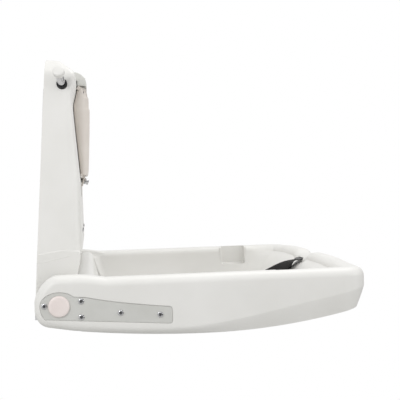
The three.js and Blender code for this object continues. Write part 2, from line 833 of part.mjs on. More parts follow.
// A ring on the basin's wall: drop runs from 0 under the rim to 1 at the floor
function basinRing(drop, grow, lower) {
  const half = halfLength - basinInset - endWallLean * drop ** 2 + grow;
  const back = bedBack + basinInset + rearWallLean * drop - grow;
  const front = bedFront - basinInset - frontWallLean * drop ** 0.75 + grow;
  const top = (x, u) => rimHeight - rimInnerRound + rimLift(x, u);
  const height = (x, u) => mix(top(x, u), bedFloor(u) + wallFootHeight, drop) - lower;
  return planRing(half, back, front, basinRearRadius, basinCornerRadius, height);
}

function floorRing(size, lower) {
  const middle = (bedBack + bedFront) / 2 - 10;
  const half = (halfLength - basinInset - endWallLean - floorFillet) * size;
  const reach = ((bedFront - bedBack) / 2 - basinInset - 30 - floorFillet) * size;
  const rear = (basinRearRadius + floorFillet / 2) * size;
  const fore = basinCornerRadius * size;
  return planRing(half, middle - reach, middle + reach, rear, fore, (x, u) => bedFloor(u) - lower);
}

function makeBedShell() {
  const rim = (inset, under) => outlineRing(inset, (x, u) => rimHeight + rimLift(x, u) - under);
  const slant = Math.SQRT1_2;
  const drops = [0, 0.38, 0.74, 1];
  const underFloor = [0.25, 0.62, 1].map((size) => floorRing(size, bedSkin));
  const behindWalls = [...drops].reverse().map((drop) => basinRing(drop, bedSkin, 1.5));
  const underRim = [
    rim(basinInset - bedSkin - 4, bedSkin + 4),
    rim(rimRound + rimFlat, bedSkin + 1),
    rim(rimRound, bedSkin + 1),
    rim(bedSkin + 1, rimRound + 1),
    outlineRing(bedSkin, (x, u) => crease(u)),
    outlineRing(bevelInset + bedSkin, (x, u) => underside(u)),
  ];
  const outside = [
    outlineRing(bevelInset, (x, u) => underside(u)),
    outlineRing(0.36 * bevelInset, (x, u) => mix(underside(u), crease(u), 0.5)),
    outlineRing(0, (x, u) => crease(u)),
    rim(0, rimRound),
    rim(rimRound * (1 - Math.cos(30 * radians)), rimRound * (1 - Math.sin(30 * radians))),
    rim(rimRound * (1 - Math.cos(60 * radians)), rimRound * (1 - Math.sin(60 * radians))),
    rim(rimRound, 0),
    rim(rimRound + rimFlat, 0),
    rim(rimRound + rimFlat + rimInnerRound * slant, rimInnerRound * (1 - slant)),
  ];
  const basin = drops.map((drop) => basinRing(drop, 0, 0));
  const floor = [1, 0.62, 0.25].map((size) => floorRing(size, 0));
  return loft([...underFloor, ...behindWalls, ...underRim, ...outside, ...basin, ...floor]);
}

function earOutline() {
  const shape = new THREE.Shape();
  shape.moveTo(earReach, underside(earReach) + 1);
  shape.lineTo(bedBack, underside(bedBack) + 0.5);
  shape.lineTo(-18, -36.5);
  shape.quadraticCurveTo(-earRear + 3, -33, -earRear, -8);
  shape.lineTo(-earRear, 8);
  shape.quadraticCurveTo(-earRear + 4, 30, -18, 45);
  shape.quadraticCurveTo(-9, earTop, 0, earTop);
  shape.lineTo(34, earTop);
  shape.quadraticCurveTo(50, earTop - 1, earReach, rimHeight - 1.5);
  return shape;
}

// An ear with rounded edges; its front end stays upright inside the bed's end wall.
function makeEar(side) {
  const points = earOutline().getPoints(8);
  const inFront = (a, b) => a.x === earReach && b.x === earReach;
  const outwards = points.map((point, i) => {
    const before = points[(i + points.length - 1) % points.length];
    const after = points[(i + 1) % points.length];
    const legs = [[before, point], [point, after]].filter(([a, b]) => !inFront(a, b));
    const normals = legs.map(([a, b]) => new THREE.Vector2(a.y - b.y, b.x - a.x).normalize());
    const sum = normals.reduce((total, normal) => total.add(normal), new THREE.Vector2()).normalize();
    return sum.divideScalar(sum.dot(normals[0]));
  });
  const ring = (x, inset) =>
    points.map(({ x: u, y: v }, i) => {
      const { x: du, y: dv } = outwards[i];
      return new THREE.Vector3(side * x, inset * du - u, v - inset * dv);
    });
  const rounded = (face, into, round) =>
    [0, 30, 60, 90].map((degrees) => {
      const angle = degrees * radians;
      return ring(face + into * round * (1 - Math.sin(angle)), round * (1 - Math.cos(angle)));
    });
  const inside = rounded(halfLength - earThickness, 1, earInnerRound);
  return loft([...inside.reverse(), ...rounded(halfLength, -1, earRound)]);
}

function plateOutline(grow) {
  const shape = new THREE.Shape();
  const end = plateEnd + grow;
  shape.absarc(0, 0, plateHeadRadius + grow, 40 * radians, 222 * radians, false);
  shape.lineTo(end - 5, -36.3 - grow);
  shape.quadraticCurveTo(end, -36.5 - grow, end, -31);
  shape.lineTo(end, -14);
  shape.quadraticCurveTo(end, -8.4 + grow, end - 6, -8 + grow);
  shape.quadraticCurveTo(96, 1 + grow, 45, 13 + grow);
  return shape;
}

// The hollow rear rim is closed on both sides of each slot by a lining of this section.
const rearRimSection = () =>
  polygon([
    [23.5, -28],
    [30.5, -36],
    [38, -41],
    [70, -41.5],
    [64, 0],
    [60, 31],
    [50, 43],
    [38, 44],
    [28, 40],
    [23.5, 31],
  ]);

const tubeEnd = skirtSlot[0] - 4 + tubeSeat;

function makeBed() {
  let bed = makeBedShell();
  for (const [, side] of sides) {
    const outer = side * halfLength;
    bed = bed.add(makeEar(side));
    const pad = polygon([[-30, -24], [plateEnd + 8, -41], [plateEnd + 8, 2], [60, 26], [-30, 26]]);
    bed = bed.add(alongWall(pad, side * (halfLength - platePad), side * (halfLength - 1)));
    bed = bed.add(alongWall(rearRimSection(), side * (skirtSlot[0] - 4), side * (skirtSlot[1] + 4)));
    const pocketEnd = pocketStart + pocketLength;
    const wallFace = halfLength - basinInset - 8;
    const lining = [side * (wallFace + 6), side * (halfLength - rimRound + 1)];
    const liningRun = [pocketStart - bedSkin, pocketEnd + bedSkin];
    const pocket = [side * (wallFace - 4), side * (halfLength - basinInset + pocketDepth)];
    bed = bed.add(box(lining, liningRun, [pocketFloor - bedSkin, rimHeight - 3]));
    bed = cut(
      bed,
      box(pocket, [pocketStart, pocketEnd], [pocketFloor, rimHeight + 20]),
      alongWall(plateOutline(runningGap), side * platePocket, side * (halfLength + 5)),
      rod(pinRadius + clearance, [0, 0, 0], [side, 0, 0], halfLength - earThickness - 5, platePocket + 1),
      box(skirtSlot.map((x) => side * x), [0, 79], [-37.5, 90]),
      rod(tubeRadius + clearance, [0, -tubePlace[0], tubePlace[1]], [side, 0, 0], 0, tubeEnd + clearance),
    );
    for (const [u, v] of plateScrews) {
      const from = [outer, -u, v];
      bed = cut(bed, rod(screwRadius + clearance, from, [-side, 0, 0], -1, plateScrewLength + 1, 10));
    }
  }
  const slotDepths = strapSlot.map((behind) => bedFront - behind);
  return cut(bed, box([-strapWidth / 2 - 1, strapWidth / 2 + 1], slotDepths, strapSlotHeights));
}

const coverInset = bevelInset + bedSkin + clearance;
const coverThickness = 3;
const coverScrewInset = 122.5;
const coverScrewPlaces = [110, 420].flatMap((u) =>
  sides.map(([, side]) => [side * (halfLength - coverScrewInset), u]),
);

function makeCover() {
  const ring = (inset, over) => outlineRing(inset, (x, u) => underside(u) + over);
  const insets = [coverInset, 110, 200];
  const below = [...insets].reverse().map((inset) => ring(inset, 0));
  const above = insets.map((inset) => ring(inset, coverThickness));
  let cover = loft([...below, ...above]);
  const earRoom = halfLength - earThickness - clearance;
  for (const side of [-1, 1])
    cover = cut(cover, box([side * earRoom, side * halfLength], [0, earReach + clearance], [-80, 0]));
  for (const [x, u] of coverScrewPlaces)
    cover = cut(cover, rod(screwRadius + clearance, [x, -u, underside(u) - 5], [0, 0, 1], 0, 20, 10));
  return cover;
}

function makeHinge(label, side) {
  const outward = [side, 0, 0];
  const inward = [-side, 0, 0];
  const plateFoot = platePocket + clearance;
  const plateTop = plateFoot + plateThickness;
  const holes = plateScrews.map(([u, v]) =>
    rod(screwRadius + clearance, [0, -u, v], outward, plateFoot - 2, plateTop + 2, 10),
  );
  const plate = cut(alongWall(plateOutline(0), side * plateFoot, side * plateTop), ...holes);
  const capFoot = plateTop + clearance;
  const cap = [
    [0, capFoot],
    [capRadius, capFoot],
    [capRadius, capFoot + 0.45 * capHeight],
    [capRadius - 1.2, capFoot + 0.75 * capHeight],
    [capRadius - 4, capFoot + 0.95 * capHeight],
    [0, capFoot + capHeight],
  ];
  const screws = plateScrews.map(([u, v], i) => {
    const from = [side * (plateTop + clearance), -u, v];
    return piece(`plate_screw_${label}_${i + 1}`, screw(from, inward, plateScrewLength), material.chrome);
  });
  return [
    piece(`pivot_pin_${label}`, rod(pinRadius, [0, 0, 0], outward, pinInner, platePocket), material.steel),
    piece(`hinge_plate_${label}`, plate, material.hinge),
    piece(`hinge_cap_${label}`, turned(cap, [0, 0, 0], outward, 28), material.cap),
    ...screws,
  ];
}

function makeCrossTube() {
  const profile = [
    [tubeBore, -tubeEnd],
    [tubeRadius, -tubeEnd],
    [tubeRadius, tubeEnd],
    [tubeBore, tubeEnd],
    [tubeBore, -tubeEnd],
  ];
  return turned(profile, [0, -tubePlace[0], tubePlace[1]], [1, 0, 0]);
}

function makeCoverScrews() {
  return coverScrewPlaces.map(([x, u], i) => {
    const from = [x, -u, underside(u) - 2 * clearance];
    return piece(`cover_screw_${i + 1}`, screw(from, [0, 0, 1], floorGap - bedSkin), material.steel);
  });
}

// Safety strap: webbing from an anchor in the front wall and one on the floor to a buckle

// A flat band through [u, v, twist] stations, twisted about its own run by degrees
function ribbon(stations, steps) {
  const route = new THREE.CatmullRomCurve3(stations.map((station) => new THREE.Vector3(...station)));
  const places = route.getPoints(steps);
  const rings = places.map(({ x: u, y: v, z: twist }, i) => {
    const before = places[Math.max(0, i - 1)];
    const after = places[Math.min(steps, i + 1)];
    const run = new THREE.Vector3(0, before.x - after.x, after.y - before.y).normalize();
    const across = new THREE.Vector3(1, 0, 0).applyAxisAngle(run, twist * radians);
    const thick = new THREE.Vector3().crossVectors(run, across);
    const ring = [[1, 1], [-1, 1], [-1, -1], [1, -1]];
    return ring.map(([w, t]) =>
      new THREE.Vector3(0, -u, v)
        .addScaledVector(across, (w * strapWidth) / 2)
        .addScaledVector(thick, (t * strapThickness) / 2),
    );
  });
  return loft(rings, 2);
}

// Blocks that clamp the webbing's ends: one inside the front rim and one on the floor
function makeFrontAnchor() {
  const half = strapWidth / 2 + anchorSide;
  const rear = bedFront - frontAnchorBack;
  const top = rimHeight - gripDip - bedSkin - 1 - clearance;
  const strapRoom = [strapExit - 1.6, strapExit + 1.6];
  const strapEnd = rear + 0.66 * frontAnchorThickness;
  return cut(
    box([-half, half], [rear, rear + frontAnchorThickness], [frontAnchorFoot, top]),
    box([-strapWidth / 2 - 0.6, strapWidth / 2 + 0.6], [rear - 1, strapEnd], strapRoom),
  );
}

function makeRearAnchor() {
  const half = strapWidth / 2 + anchorSide;
  const reach = anchorLength / 2;
  const height = anchorHeight / 2 + 1;
  const body = cut(
    box([-half, half], [-reach, reach], [-height, height]),
    box([-strapWidth / 2 - 0.6, strapWidth / 2 + 0.6], [-2, reach + 1], [-1.6, 1.6]),
  );
  const [u, v] = rearAnchorAt;
  return body.rotate([rearAnchorTilt, 0, 0]).translate([0, -u, v]);
}

const webLevel = bedFloor(buckleStart) + buckleHeight / 2 + clearance;
const tongueStart = buckleStart + socketLength + runningGap;
const tongueEnd = tongueStart + tongueLength;
const onFloor = (u) => [u, bedFloor(u) + strapThickness + 2 * clearance, 180];

function makeStrapFront() {
  const stations = [
    [bedFront - 21, strapExit, 0],
    [bedFront - 34, strapExit, 0],
    [bedFront - 45, 35, 0],
    [bedFront - 57, 30, 14],
    [bedFront - 72, 23, 34],
    [bedFront - 87, 13, 52],
    [bedFront - 100, 1, 74],
    [bedFront - 114, -9.5, 103],
    [bedFront - 128, -19, 138],
    [bedFront - 141, -29.5, 166],
    onFloor(bedFront - 156),
    onFloor(340),
    onFloor(300),
    onFloor(262),
    [tongueEnd + 4, webLevel - 0.6, 180],
    [tongueEnd - 8, webLevel, 180],
  ];
  return ribbon(stations, 36);
}

function makeStrapRear() {
  const [u, v] = rearAnchorAt;
  const end = [buckleStart + 8, webLevel, 0];
  return ribbon([[u, v, 0], [u + 10, v - 0.6, 0], [buckleStart - 6, webLevel, 0], end], 8);
}

function makeBuckle() {
  const foot = webLevel - buckleHeight / 2;
  const head = foot + buckleHeight;
  const inner = [foot + buckleWall, head - buckleWall];
  const loose = [inner[0] + runningGap, inner[1] - runningGap];
  const socketEnd = buckleStart + socketLength;
  const web = [[-strapWidth / 2 - 0.5, strapWidth / 2 + 0.5], [webLevel - 1.6, webLevel + 1.6]];
  const window = [buckleStart + 14, socketEnd - 8];
  const socket = cut(
    box([-buckleHalf, buckleHalf], [buckleStart, socketEnd], [foot, head]),
    box([buckleWall - buckleHalf, buckleHalf - buckleWall], [buckleStart + 11, socketEnd + 1], inner),
    box([-buckleHalf - 1, buckleHalf + 1], window, inner),
    box(web[0], [buckleStart - 1, buckleStart + 9], web[1]),
  );
  const plug = 13;
  const tongue = cut(
    join(
      box([2 - buckleHalf, buckleHalf - 2], [tongueStart, tongueEnd], [foot + 1, head - 1]),
      box([-plug, plug], [buckleStart + 13, tongueStart + 1], loose),
    ),
    box(web[0], [tongueEnd - 9, tongueEnd + 1], web[1]),
  );
  const presses = sides.map(([label, side]) => {
    const reach = [side * (plug + pressTravel + runningGap), side * (buckleHalf + 1.5)];
    const length = [window[0] + runningGap, window[1] - runningGap];
    const button = box(reach, length, loose);
    return piece(`buckle_press_${label}`, button, material.buckle);
  });
  return [
    piece("buckle_socket", socket, material.buckle),
    piece("buckle_tongue", tongue, material.buckle),
    ...presses,
  ];
}

// Assembly
const station = new THREE.Group();
station.name = "baby_changing_station";

const wallUnit = new THREE.Group();
wallUnit.name = "wall_unit";
wallUnit.position.set(0, 0, -hingeBelowOrigin);
wallUnit.add(
  piece("wall_frame", makeFrame(), material.frame),
  piece("back_panel", makePanel(), material.shell),
  ...makePanelScrews(),
  piece("liner_bin", makeBin(), material.cover),
  piece("liner_stack", makeLiners(), material.paper),
  piece("dispenser_hood", makeHood(), material.cover),
  piece("dispenser_door", makeDoor(), material.door),
  ...makeLock(),
);
for (const [label, side] of sides) {
  wallUnit.add(...makeHook(label, side), ...makeHingeSeat(label, side));
  wallUnit.add(piece(`door_pin_${label}`, makeDoorPin(side), material.steel));
}

// The bed and the rubber stops that meet its rear face share the open bed's tilt.
function tiltedGroup(name) {
  const group = new THREE.Group();
  group.name = name;
  group.position.set(0, -hingeFromWall, -hingeBelowOrigin);
  group.rotation.x = -bedTilt * radians;
  return group;
}

const bed = tiltedGroup("bed");
const openStops = tiltedGroup("open_stops");
bed.add(
  piece("bed_shell", makeBed(), material.shell),
  piece("bed_cover", makeCover(), material.cover),
  ...makeCoverScrews(),
  piece("cross_tube", makeCrossTube(), material.steel),
  piece("strap_anchor_front", makeFrontAnchor(), material.buckle),
  piece("strap_anchor_rear", makeRearAnchor(), material.buckle),
  piece("strap_front", makeStrapFront(), material.strap),
  piece("strap_rear", makeStrapRear(), material.strap),
  ...makeBuckle(),
);
for (const [label, side] of sides) {
  bed.add(...makeHinge(label, side));
  openStops.add(piece(`open_stop_${label}`, makeOpenStop(side), material.rubber));
}

station.add(wallUnit, openStops, bed);
export default station;
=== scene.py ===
import json
import math

import bmesh
import bpy
from mathutils import Matrix, Quaternion, Vector


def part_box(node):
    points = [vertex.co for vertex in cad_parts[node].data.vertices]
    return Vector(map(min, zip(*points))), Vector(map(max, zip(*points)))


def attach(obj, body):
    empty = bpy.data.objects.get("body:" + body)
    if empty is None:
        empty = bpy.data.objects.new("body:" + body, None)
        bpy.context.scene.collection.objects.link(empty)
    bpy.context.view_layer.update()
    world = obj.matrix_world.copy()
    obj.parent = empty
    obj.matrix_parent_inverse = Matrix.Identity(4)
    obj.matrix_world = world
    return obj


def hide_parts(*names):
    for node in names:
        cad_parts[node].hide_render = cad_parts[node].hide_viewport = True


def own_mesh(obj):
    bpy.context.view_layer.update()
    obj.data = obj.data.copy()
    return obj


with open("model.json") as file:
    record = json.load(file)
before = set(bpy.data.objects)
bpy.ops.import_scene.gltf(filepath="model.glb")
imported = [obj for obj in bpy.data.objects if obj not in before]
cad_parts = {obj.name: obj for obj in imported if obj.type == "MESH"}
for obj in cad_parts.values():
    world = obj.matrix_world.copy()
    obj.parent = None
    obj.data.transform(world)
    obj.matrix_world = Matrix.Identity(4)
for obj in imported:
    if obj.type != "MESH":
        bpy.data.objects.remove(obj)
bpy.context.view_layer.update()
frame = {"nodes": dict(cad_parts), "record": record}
print("frame loaded", len(frame["nodes"]), "nodes")

milli = 0.001
sides = (("left", -1), ("right", 1))
# hinge axis from the wall and under the origin, open bed's tilt
hinge = {"out": 52.0, "below": 180.0, "tilt": 3.9}
wallPlace = Matrix.Scale(milli, 4) @ Matrix.Translation((0, 0, -hinge["below"]))
bedPlace = (
    Matrix.Scale(milli, 4)
    @ Matrix.Translation((0, -hinge["out"], -hinge["below"]))
    @ Matrix.Rotation(math.radians(-hinge["tilt"]), 4, "X")
)


def linear(hexColour):  # sRGB hex to scene linear
    parts = [int(hexColour[i : i + 2], 16) / 255 for i in (0, 2, 4)]
    return [c / 12.92 if c <= 0.04045 else ((c + 0.055) / 1.055) ** 2.4 for c in parts] + [1.0]


def addNode(tree, kind, sockets=None, **settings):
    node = tree.nodes.new(kind)
    for key, value in settings.items():
        setattr(node, key, value)
    for key, value in (sockets or {}).items():
        if isinstance(value, bpy.types.NodeSocket):
            tree.links.new(value, node.inputs[key])
        else:
            node.inputs[key].default_value = value
    return node


# camera and studio
view = {
    "place": (-2.2537, -0.0975, 0.0172),
    "yaw": 5.83,  # towards the bed's front
    "down": 0.29,
    "roll": 2.01,
    "lens": 97.1,
}


def setCamera():
    camera = bpy.data.objects.new("photoCamera", bpy.data.cameras.new("photoCamera"))
    bpy.context.scene.collection.objects.link(camera)
    camera.data.lens = view["lens"]
    camera.data.sensor_width = 36
    yaw, down = math.radians(view["yaw"]), math.radians(view["down"])
    ahead = Vector((math.cos(yaw) * math.cos(down), -math.sin(yaw) * math.cos(down), -math.sin(down)))
    turn = ahead.to_track_quat("-Z", "Y") @ Quaternion((0, 0, 1), math.radians(view["roll"]))
    camera.location = view["place"]
    camera.rotation_euler = turn.to_euler()
    camera.data.clip_start = 0.05
    camera.data.clip_end = 100
    bpy.context.scene.camera = camera


studio = {
    "sky": 0.785,
    "darkFront": (-0.68, -0.40),  # Y of the directions that mirrors show dark, and of the pale ones
    "darkEnd": (-0.97, -0.91),  # the same for X, a small patch off the near end
    "dark": 0.03,
    "floorAt": -1.0,
    "floorHalf": 2.6,
    "floorColour": "C4C4C2",
    "lamps": (  # name, place, aimed at, size, watts
        ("overhead", (0.2, -0.9, 2.2), (0.1, -0.4, -0.1), 1.6, 18),
        ("behindLeft", (-1.9, 0.9, 0.8), (-0.4, -0.15, 0.0), 0.5, 10),
        ("frontRight", (-0.9, -2.2, 0.5), (-0.15, -0.09, 0.1), 0.8, 6),
    ),
}


def setStudio():
    scene = bpy.context.scene
    scene.view_settings.view_transform = "Standard"
    scene.world = bpy.data.worlds.new("paleRoom")
    scene.world.use_nodes = True
    tree = scene.world.node_tree
    tree.nodes.clear()
    seen = addNode(tree, "ShaderNodeLightPath")
    lit = addNode(tree, "ShaderNodeBackground", {"Color": (1, 1, 1, 1), "Strength": studio["sky"]})
    white = addNode(tree, "ShaderNodeBackground", {"Color": (1, 1, 1, 1), "Strength": 1.0})
    heading = addNode(tree, "ShaderNodeTexCoord").outputs["Generated"]
    way = addNode(tree, "ShaderNodeSeparateXYZ", {0: heading})
    shade = studio["sky"]
    for axis, key in (("Y", "darkFront"), ("X", "darkEnd")):
        low, high = studio[key]
        limits = {"From Min": low, "From Max": high, "To Min": studio["dark"]}
        part = addNode(tree, "ShaderNodeMapRange", {"Value": way.outputs[axis]} | limits)
        shade = addNode(
            tree, "ShaderNodeMath", {0: shade, 1: part.outputs["Result"]}, operation="MULTIPLY"
        ).outputs[0]
    mirrored = addNode(tree, "ShaderNodeBackground", {"Color": (1, 1, 1, 1), "Strength": shade})
    plain = addNode(
        tree,
        "ShaderNodeMixShader",
        {0: seen.outputs["Is Glossy Ray"], 1: lit.outputs[0], 2: mirrored.outputs[0]},
    )
    both = addNode(
        tree,
        "ShaderNodeMixShader",
        {0: seen.outputs["Is Camera Ray"], 1: plain.outputs[0], 2: white.outputs[0]},
    )
    addNode(tree, "ShaderNodeOutputWorld", {"Surface": both.outputs[0]})
    bm = bmesh.new()
    bmesh.ops.create_grid(bm, x_segments=1, y_segments=1, size=studio["floorHalf"])
    bmesh.ops.translate(bm, verts=bm.verts, vec=(0, 0, studio["floorAt"]))
    mesh = bpy.data.meshes.new("paleFloor")
    bm.to_mesh(mesh)
    bm.free()
    floor = bpy.data.objects.new("paleFloor", mesh)
    scene.collection.objects.link(floor)
    paint = bpy.data.materials.new("paleFloorPaint")
    paint.use_nodes = True
    shader = paint.node_tree.nodes["Principled BSDF"]
    shader.inputs["Base Color"].default_value = linear(studio["floorColour"])
    shader.inputs["Roughness"].default_value = 0.9
    mesh.materials.append(paint)
    for name, place, aim, size, watts in studio["lamps"]:
        lamp = bpy.data.lights.new(name, "AREA")
        lamp.shape = "DISK"
        lamp.size = size
        lamp.energy = watts
        holder = bpy.data.objects.new(name, lamp)
        holder.location = place
        holder.rotation_euler = (Vector(aim) - Vector(place)).to_track_quat("-Z", "Y").to_euler()
        scene.collection.objects.link(holder)


setCamera()
setStudio()
print("camera and studio set")


# materials
def startMaterial(name):
    made = bpy.data.materials.new(name)
    made.use_nodes = True
    tree = made.node_tree
    tree.nodes.clear()
    shader = addNode(tree, "ShaderNodeBsdfPrincipled")
    addNode(tree, "ShaderNodeOutputMaterial", {"Surface": shader.outputs[0]})
    return made, tree, shader


def mouldedPlastic(look):  # cloud and grain are in millimetres
    # spark-textured mould: soft sheen, slightly uneven colour, fine pebbled grain
    made, tree, shader = startMaterial(look["name"])
    place = addNode(tree, "ShaderNodeTexCoord").outputs["Object"]
    cloud = addNode(
        tree,
        "ShaderNodeTexNoise",
        {"Vector": place, "Scale": 1 / milli / look["cloud"], "Detail": 3.0, "Roughness": 0.55},
    )
    tint = addNode(tree, "ShaderNodeValToRGB", {"Fac": cloud.outputs["Fac"]})
    tint.color_ramp.elements[0].position = 0.32
    tint.color_ramp.elements[1].position = 0.68
    tint.color_ramp.elements[0].color = linear(look["shade"])
    tint.color_ramp.elements[1].color = linear(look["colour"])
    grain = addNode(
        tree,
        "ShaderNodeTexNoise",
        {"Vector": place, "Scale": 1 / milli / look["grain"], "Detail": 2.0, "Roughness": 0.5},
    )
    polish = addNode(
        tree,
        "ShaderNodeMapRange",
        {
            "Value": cloud.outputs["Fac"], "From Min": 0.3, "From Max": 0.7, "To Min": look["rough"][0],
            "To Max": look["rough"][1],
        },
    )
    bump = addNode(
        tree,
        "ShaderNodeBump",
        {"Height": grain.outputs["Fac"], "Strength": look["bump"], "Distance": 0.0003},
    )
    tree.links.new(tint.outputs["Color"], shader.inputs["Base Color"])
    tree.links.new(polish.outputs["Result"], shader.inputs["Roughness"])
    tree.links.new(bump.outputs["Normal"], shader.inputs["Normal"])
    shader.inputs["IOR"].default_value = look["ior"]
    return made


def platedMetal(look):  # cloud and pitch are in millimetres
    # drawn or turned steel: fine lines along one axis, duller where handled
    made, tree, shader = startMaterial(look["name"])
    place = addNode(tree, "ShaderNodeTexCoord").outputs["Object"]
    along = addNode(tree, "ShaderNodeMapping", {"Vector": place, "Scale": look["lines"]})
    lines = addNode(
        tree,
        "ShaderNodeTexNoise",
        {"Vector": along.outputs[0], "Scale": 1 / milli / look["pitch"], "Detail": 3.0},
    )
    cloud = addNode(
        tree, "ShaderNodeTexNoise", {"Vector": place, "Scale": 1 / milli / look["cloud"], "Detail": 2.0}
    )
    tint = addNode(tree, "ShaderNodeValToRGB", {"Fac": cloud.outputs["Fac"]})
    tint.color_ramp.elements[0].position = 0.35
    tint.color_ramp.elements[1].position = 0.65
    tint.color_ramp.elements[0].color = linear(look["shade"])
    tint.color_ramp.elements[1].color = linear(look["colour"])
    polish = addNode(
        tree,
        "ShaderNodeMapRange",
        {
            "Value": lines.outputs["Fac"], "From Min": 0.3, "From Max": 0.7, "To Min": look["rough"][0],
            "To Max": look["rough"][1],
        },
    )
    bump = addNode(
        tree,
        "ShaderNodeBump",
        {"Height": lines.outputs["Fac"], "Strength": look["bump"], "Distance": 0.0001},
    )
    tree.links.new(tint.outputs["Color"], shader.inputs["Base Color"])
    tree.links.new(polish.outputs["Result"], shader.inputs["Roughness"])
    tree.links.new(bump.outputs["Normal"], shader.inputs["Normal"])
    shader.inputs["Metallic"].default_value = look["metal"]
    return made


def wovenNylon(look):  # ribs and yarn are in millimetres
    # flat webbing: black with a dull sheen, diagonal ribs crossed by fine yarn
    made, tree, shader = startMaterial(look["name"])
    stripe = math.pi / 10 / milli  # a wave of scale 1 repeats every pi / 10
    place = addNode(tree, "ShaderNodeUVMap", uv_map="webbing").outputs["UV"]
    turned = addNode(tree, "ShaderNodeMapping", {"Vector": place, "Rotation": (0, 0, math.radians(38))})
    ribs = addNode(
        tree,
        "ShaderNodeTexWave",
        {"Vector": turned.outputs[0], "Scale": stripe / look["ribs"], "Distortion": 0.6, "Detail": 1.0},
    )
    yarn = addNode(
        tree,
        "ShaderNodeTexWave",
        {"Vector": place, "Scale": stripe / look["yarn"], "Distortion": 0.3},
        bands_direction="Y",
    )
    both = addNode(
        tree, "ShaderNodeMath", {0: ribs.outputs["Fac"], 1: yarn.outputs["Fac"]}, operation="MULTIPLY"
    )
    tint = addNode(tree, "ShaderNodeValToRGB", {"Fac": both.outputs[0]})
    tint.color_ramp.elements[0].color = linear(look["shade"])
    tint.color_ramp.elements[1].color = linear(look["colour"])
    bump = addNode(
        tree, "ShaderNodeBump", {"Height": both.outputs[0], "Strength": 0.5, "Distance": 0.0006}
    )
    tree.links.new(tint.outputs["Color"], shader.inputs["Base Color"])
    tree.links.new(bump.outputs["Normal"], shader.inputs["Normal"])
    shader.inputs["Roughness"].default_value = 0.62
    shader.inputs["Sheen Weight"].default_value = 0.25
    return made


plasticKeys = ("name", "colour", "shade", "cloud", "grain", "rough", "bump", "ior")
plastics = {
    # rotation-moulded polyethylene: white with a soft sheen, faintly uneven
    "shell": ("mouldedPolyethylene", "EAE9E6", "E3E2DE", 160, 1.6, (0.36, 0.46), 0.10, 1.51),
    # injection-moulded ABS: greyer and duller than the shell
    "cover": ("mouldedAbs", "D6D6D2", "CDCDC8", 120, 1.4, (0.40, 0.52), 0.12, 1.52),
    # tinted ABS: warm beige, a little glossier
    "door": ("tintedAbs", "E4DDD6", "DAD2CA", 90, 1.5, (0.34, 0.46), 0.10, 1.52),
    # aged ABS: pale with a trace of pink, nearly smooth
    "cap": ("capAbs", "F0E6E2", "EADFDB", 30, 1.2, (0.34, 0.44), 0.06, 1.52),
    # black acetal: near black with a pebbled, waxy sheen
    "buckle": ("acetalBlack", "1D1D1F", "151517", 30, 1.0, (0.38, 0.55), 0.16, 1.53),
    # moulded rubber: dark and dull
    "rubber": ("mouldedRubber", "2C2C2D", "222223", 30, 1.2, (0.70, 0.85), 0.18, 1.52),
    # crepe paper: off-white and matt, finely wrinkled
    "paper": ("creptPaper", "F0EDE7", "E8E4DC", 20, 0.8, (0.82, 0.95), 0.35, 1.45),
    # natural acetal: milky and slick
    "bush": ("acetalNatural", "D3CEC3", "C8C2B6", 20, 1.0, (0.30, 0.42), 0.05, 1.48),
}
metalKeys = ("name", "colour", "shade", "cloud", "lines", "pitch", "rough", "bump", "metal")
metals = {
    # satin paint on steel: pale grey, only a hint of metal
    "plate": ("satinPaintedSteel", "D8D8D4", "D1D1CC", 50, (1, 1, 1), 2.2, (0.38, 0.50), 0.12, 0.15),
    # powder coat on steel: pale, matt, with a slight orange-peel
    "coat": ("powderCoatedSteel", "E0E0E1", "D8D8DA", 50, (1, 1, 1), 1.8, (0.46, 0.58), 0.16, 0.0),
    # zinc-plated steel: grey, drawn along its length
    "steel": ("zincPlatedSteel", "B9BBBD", "A6A8AB", 40, (0.05, 1, 1), 1.0, (0.26, 0.42), 0.10, 1.0),
    # chromed steel: bright, mirrors the room
    "chrome": ("chromedSteel", "DCDCDE", "CFCFD2", 10, (1, 1, 1), 0.6, (0.12, 0.22), 0.03, 1.0),
}
webbing = {"name": "nylonWebbing", "colour": "1B1A1E", "shade": "08070A", "ribs": 2.856, "yarn": 1.9635}
finish = {key: mouldedPlastic(dict(zip(plasticKeys, row))) for key, row in plastics.items()}
finish |= {key: platedMetal(dict(zip(metalKeys, row))) for key, row in metals.items()}
finish["webbing"] = wovenNylon(webbing)
slotFinish = {  # the record's slots
    "moulded_shell": "shell",
    "moulded_cover": "cover",
    "door_plastic": "door",
    "cap_plastic": "cap",
    "hinge_plate": "plate",
    "frame_paint": "coat",
    "steel": "steel",
    "chrome": "chrome",
    "webbing": "webbing",
    "buckle_plastic": "buckle",
    "rubber": "rubber",
    "paper": "paper",
    "bush": "bush",
}
slotOf = {part["node"]: part["material_slot"] for part in frame["record"]["subparts"]}
bodyOf = {
    node: body for body, nodes in frame["record"]["behaviour"]["bodies"].items() for node in nodes
}
print("materials made", len(finish))


# shared ways of making a piece, in millimetres until it is placed
def mixed(a, b, t):
    return a + (b - a) * t


def eased(x, low, high):
    t = min(1.0, max(0.0, (x - low) / (high - low)))
    return t * t * (3 - 2 * t)


def readOff(rows, place):  # value between rows of place and value
    for (x0, y0), (x1, y1) in zip(rows, rows[1:]):
        if place <= x1:
            return mixed(y0, y1, max(0.0, (place - x0) / (x1 - x0)))
    return rows[-1][1]


def bend(a, control, b, steps=10):  # points of a quadratic curve after its first
    ways = [i / steps for i in range(1, steps + 1)]
    return [
        tuple((1 - t) ** 2 * p + 2 * t * (1 - t) * c + t * t * q for p, c, q in zip(a, control, b))
        for t in ways
    ]


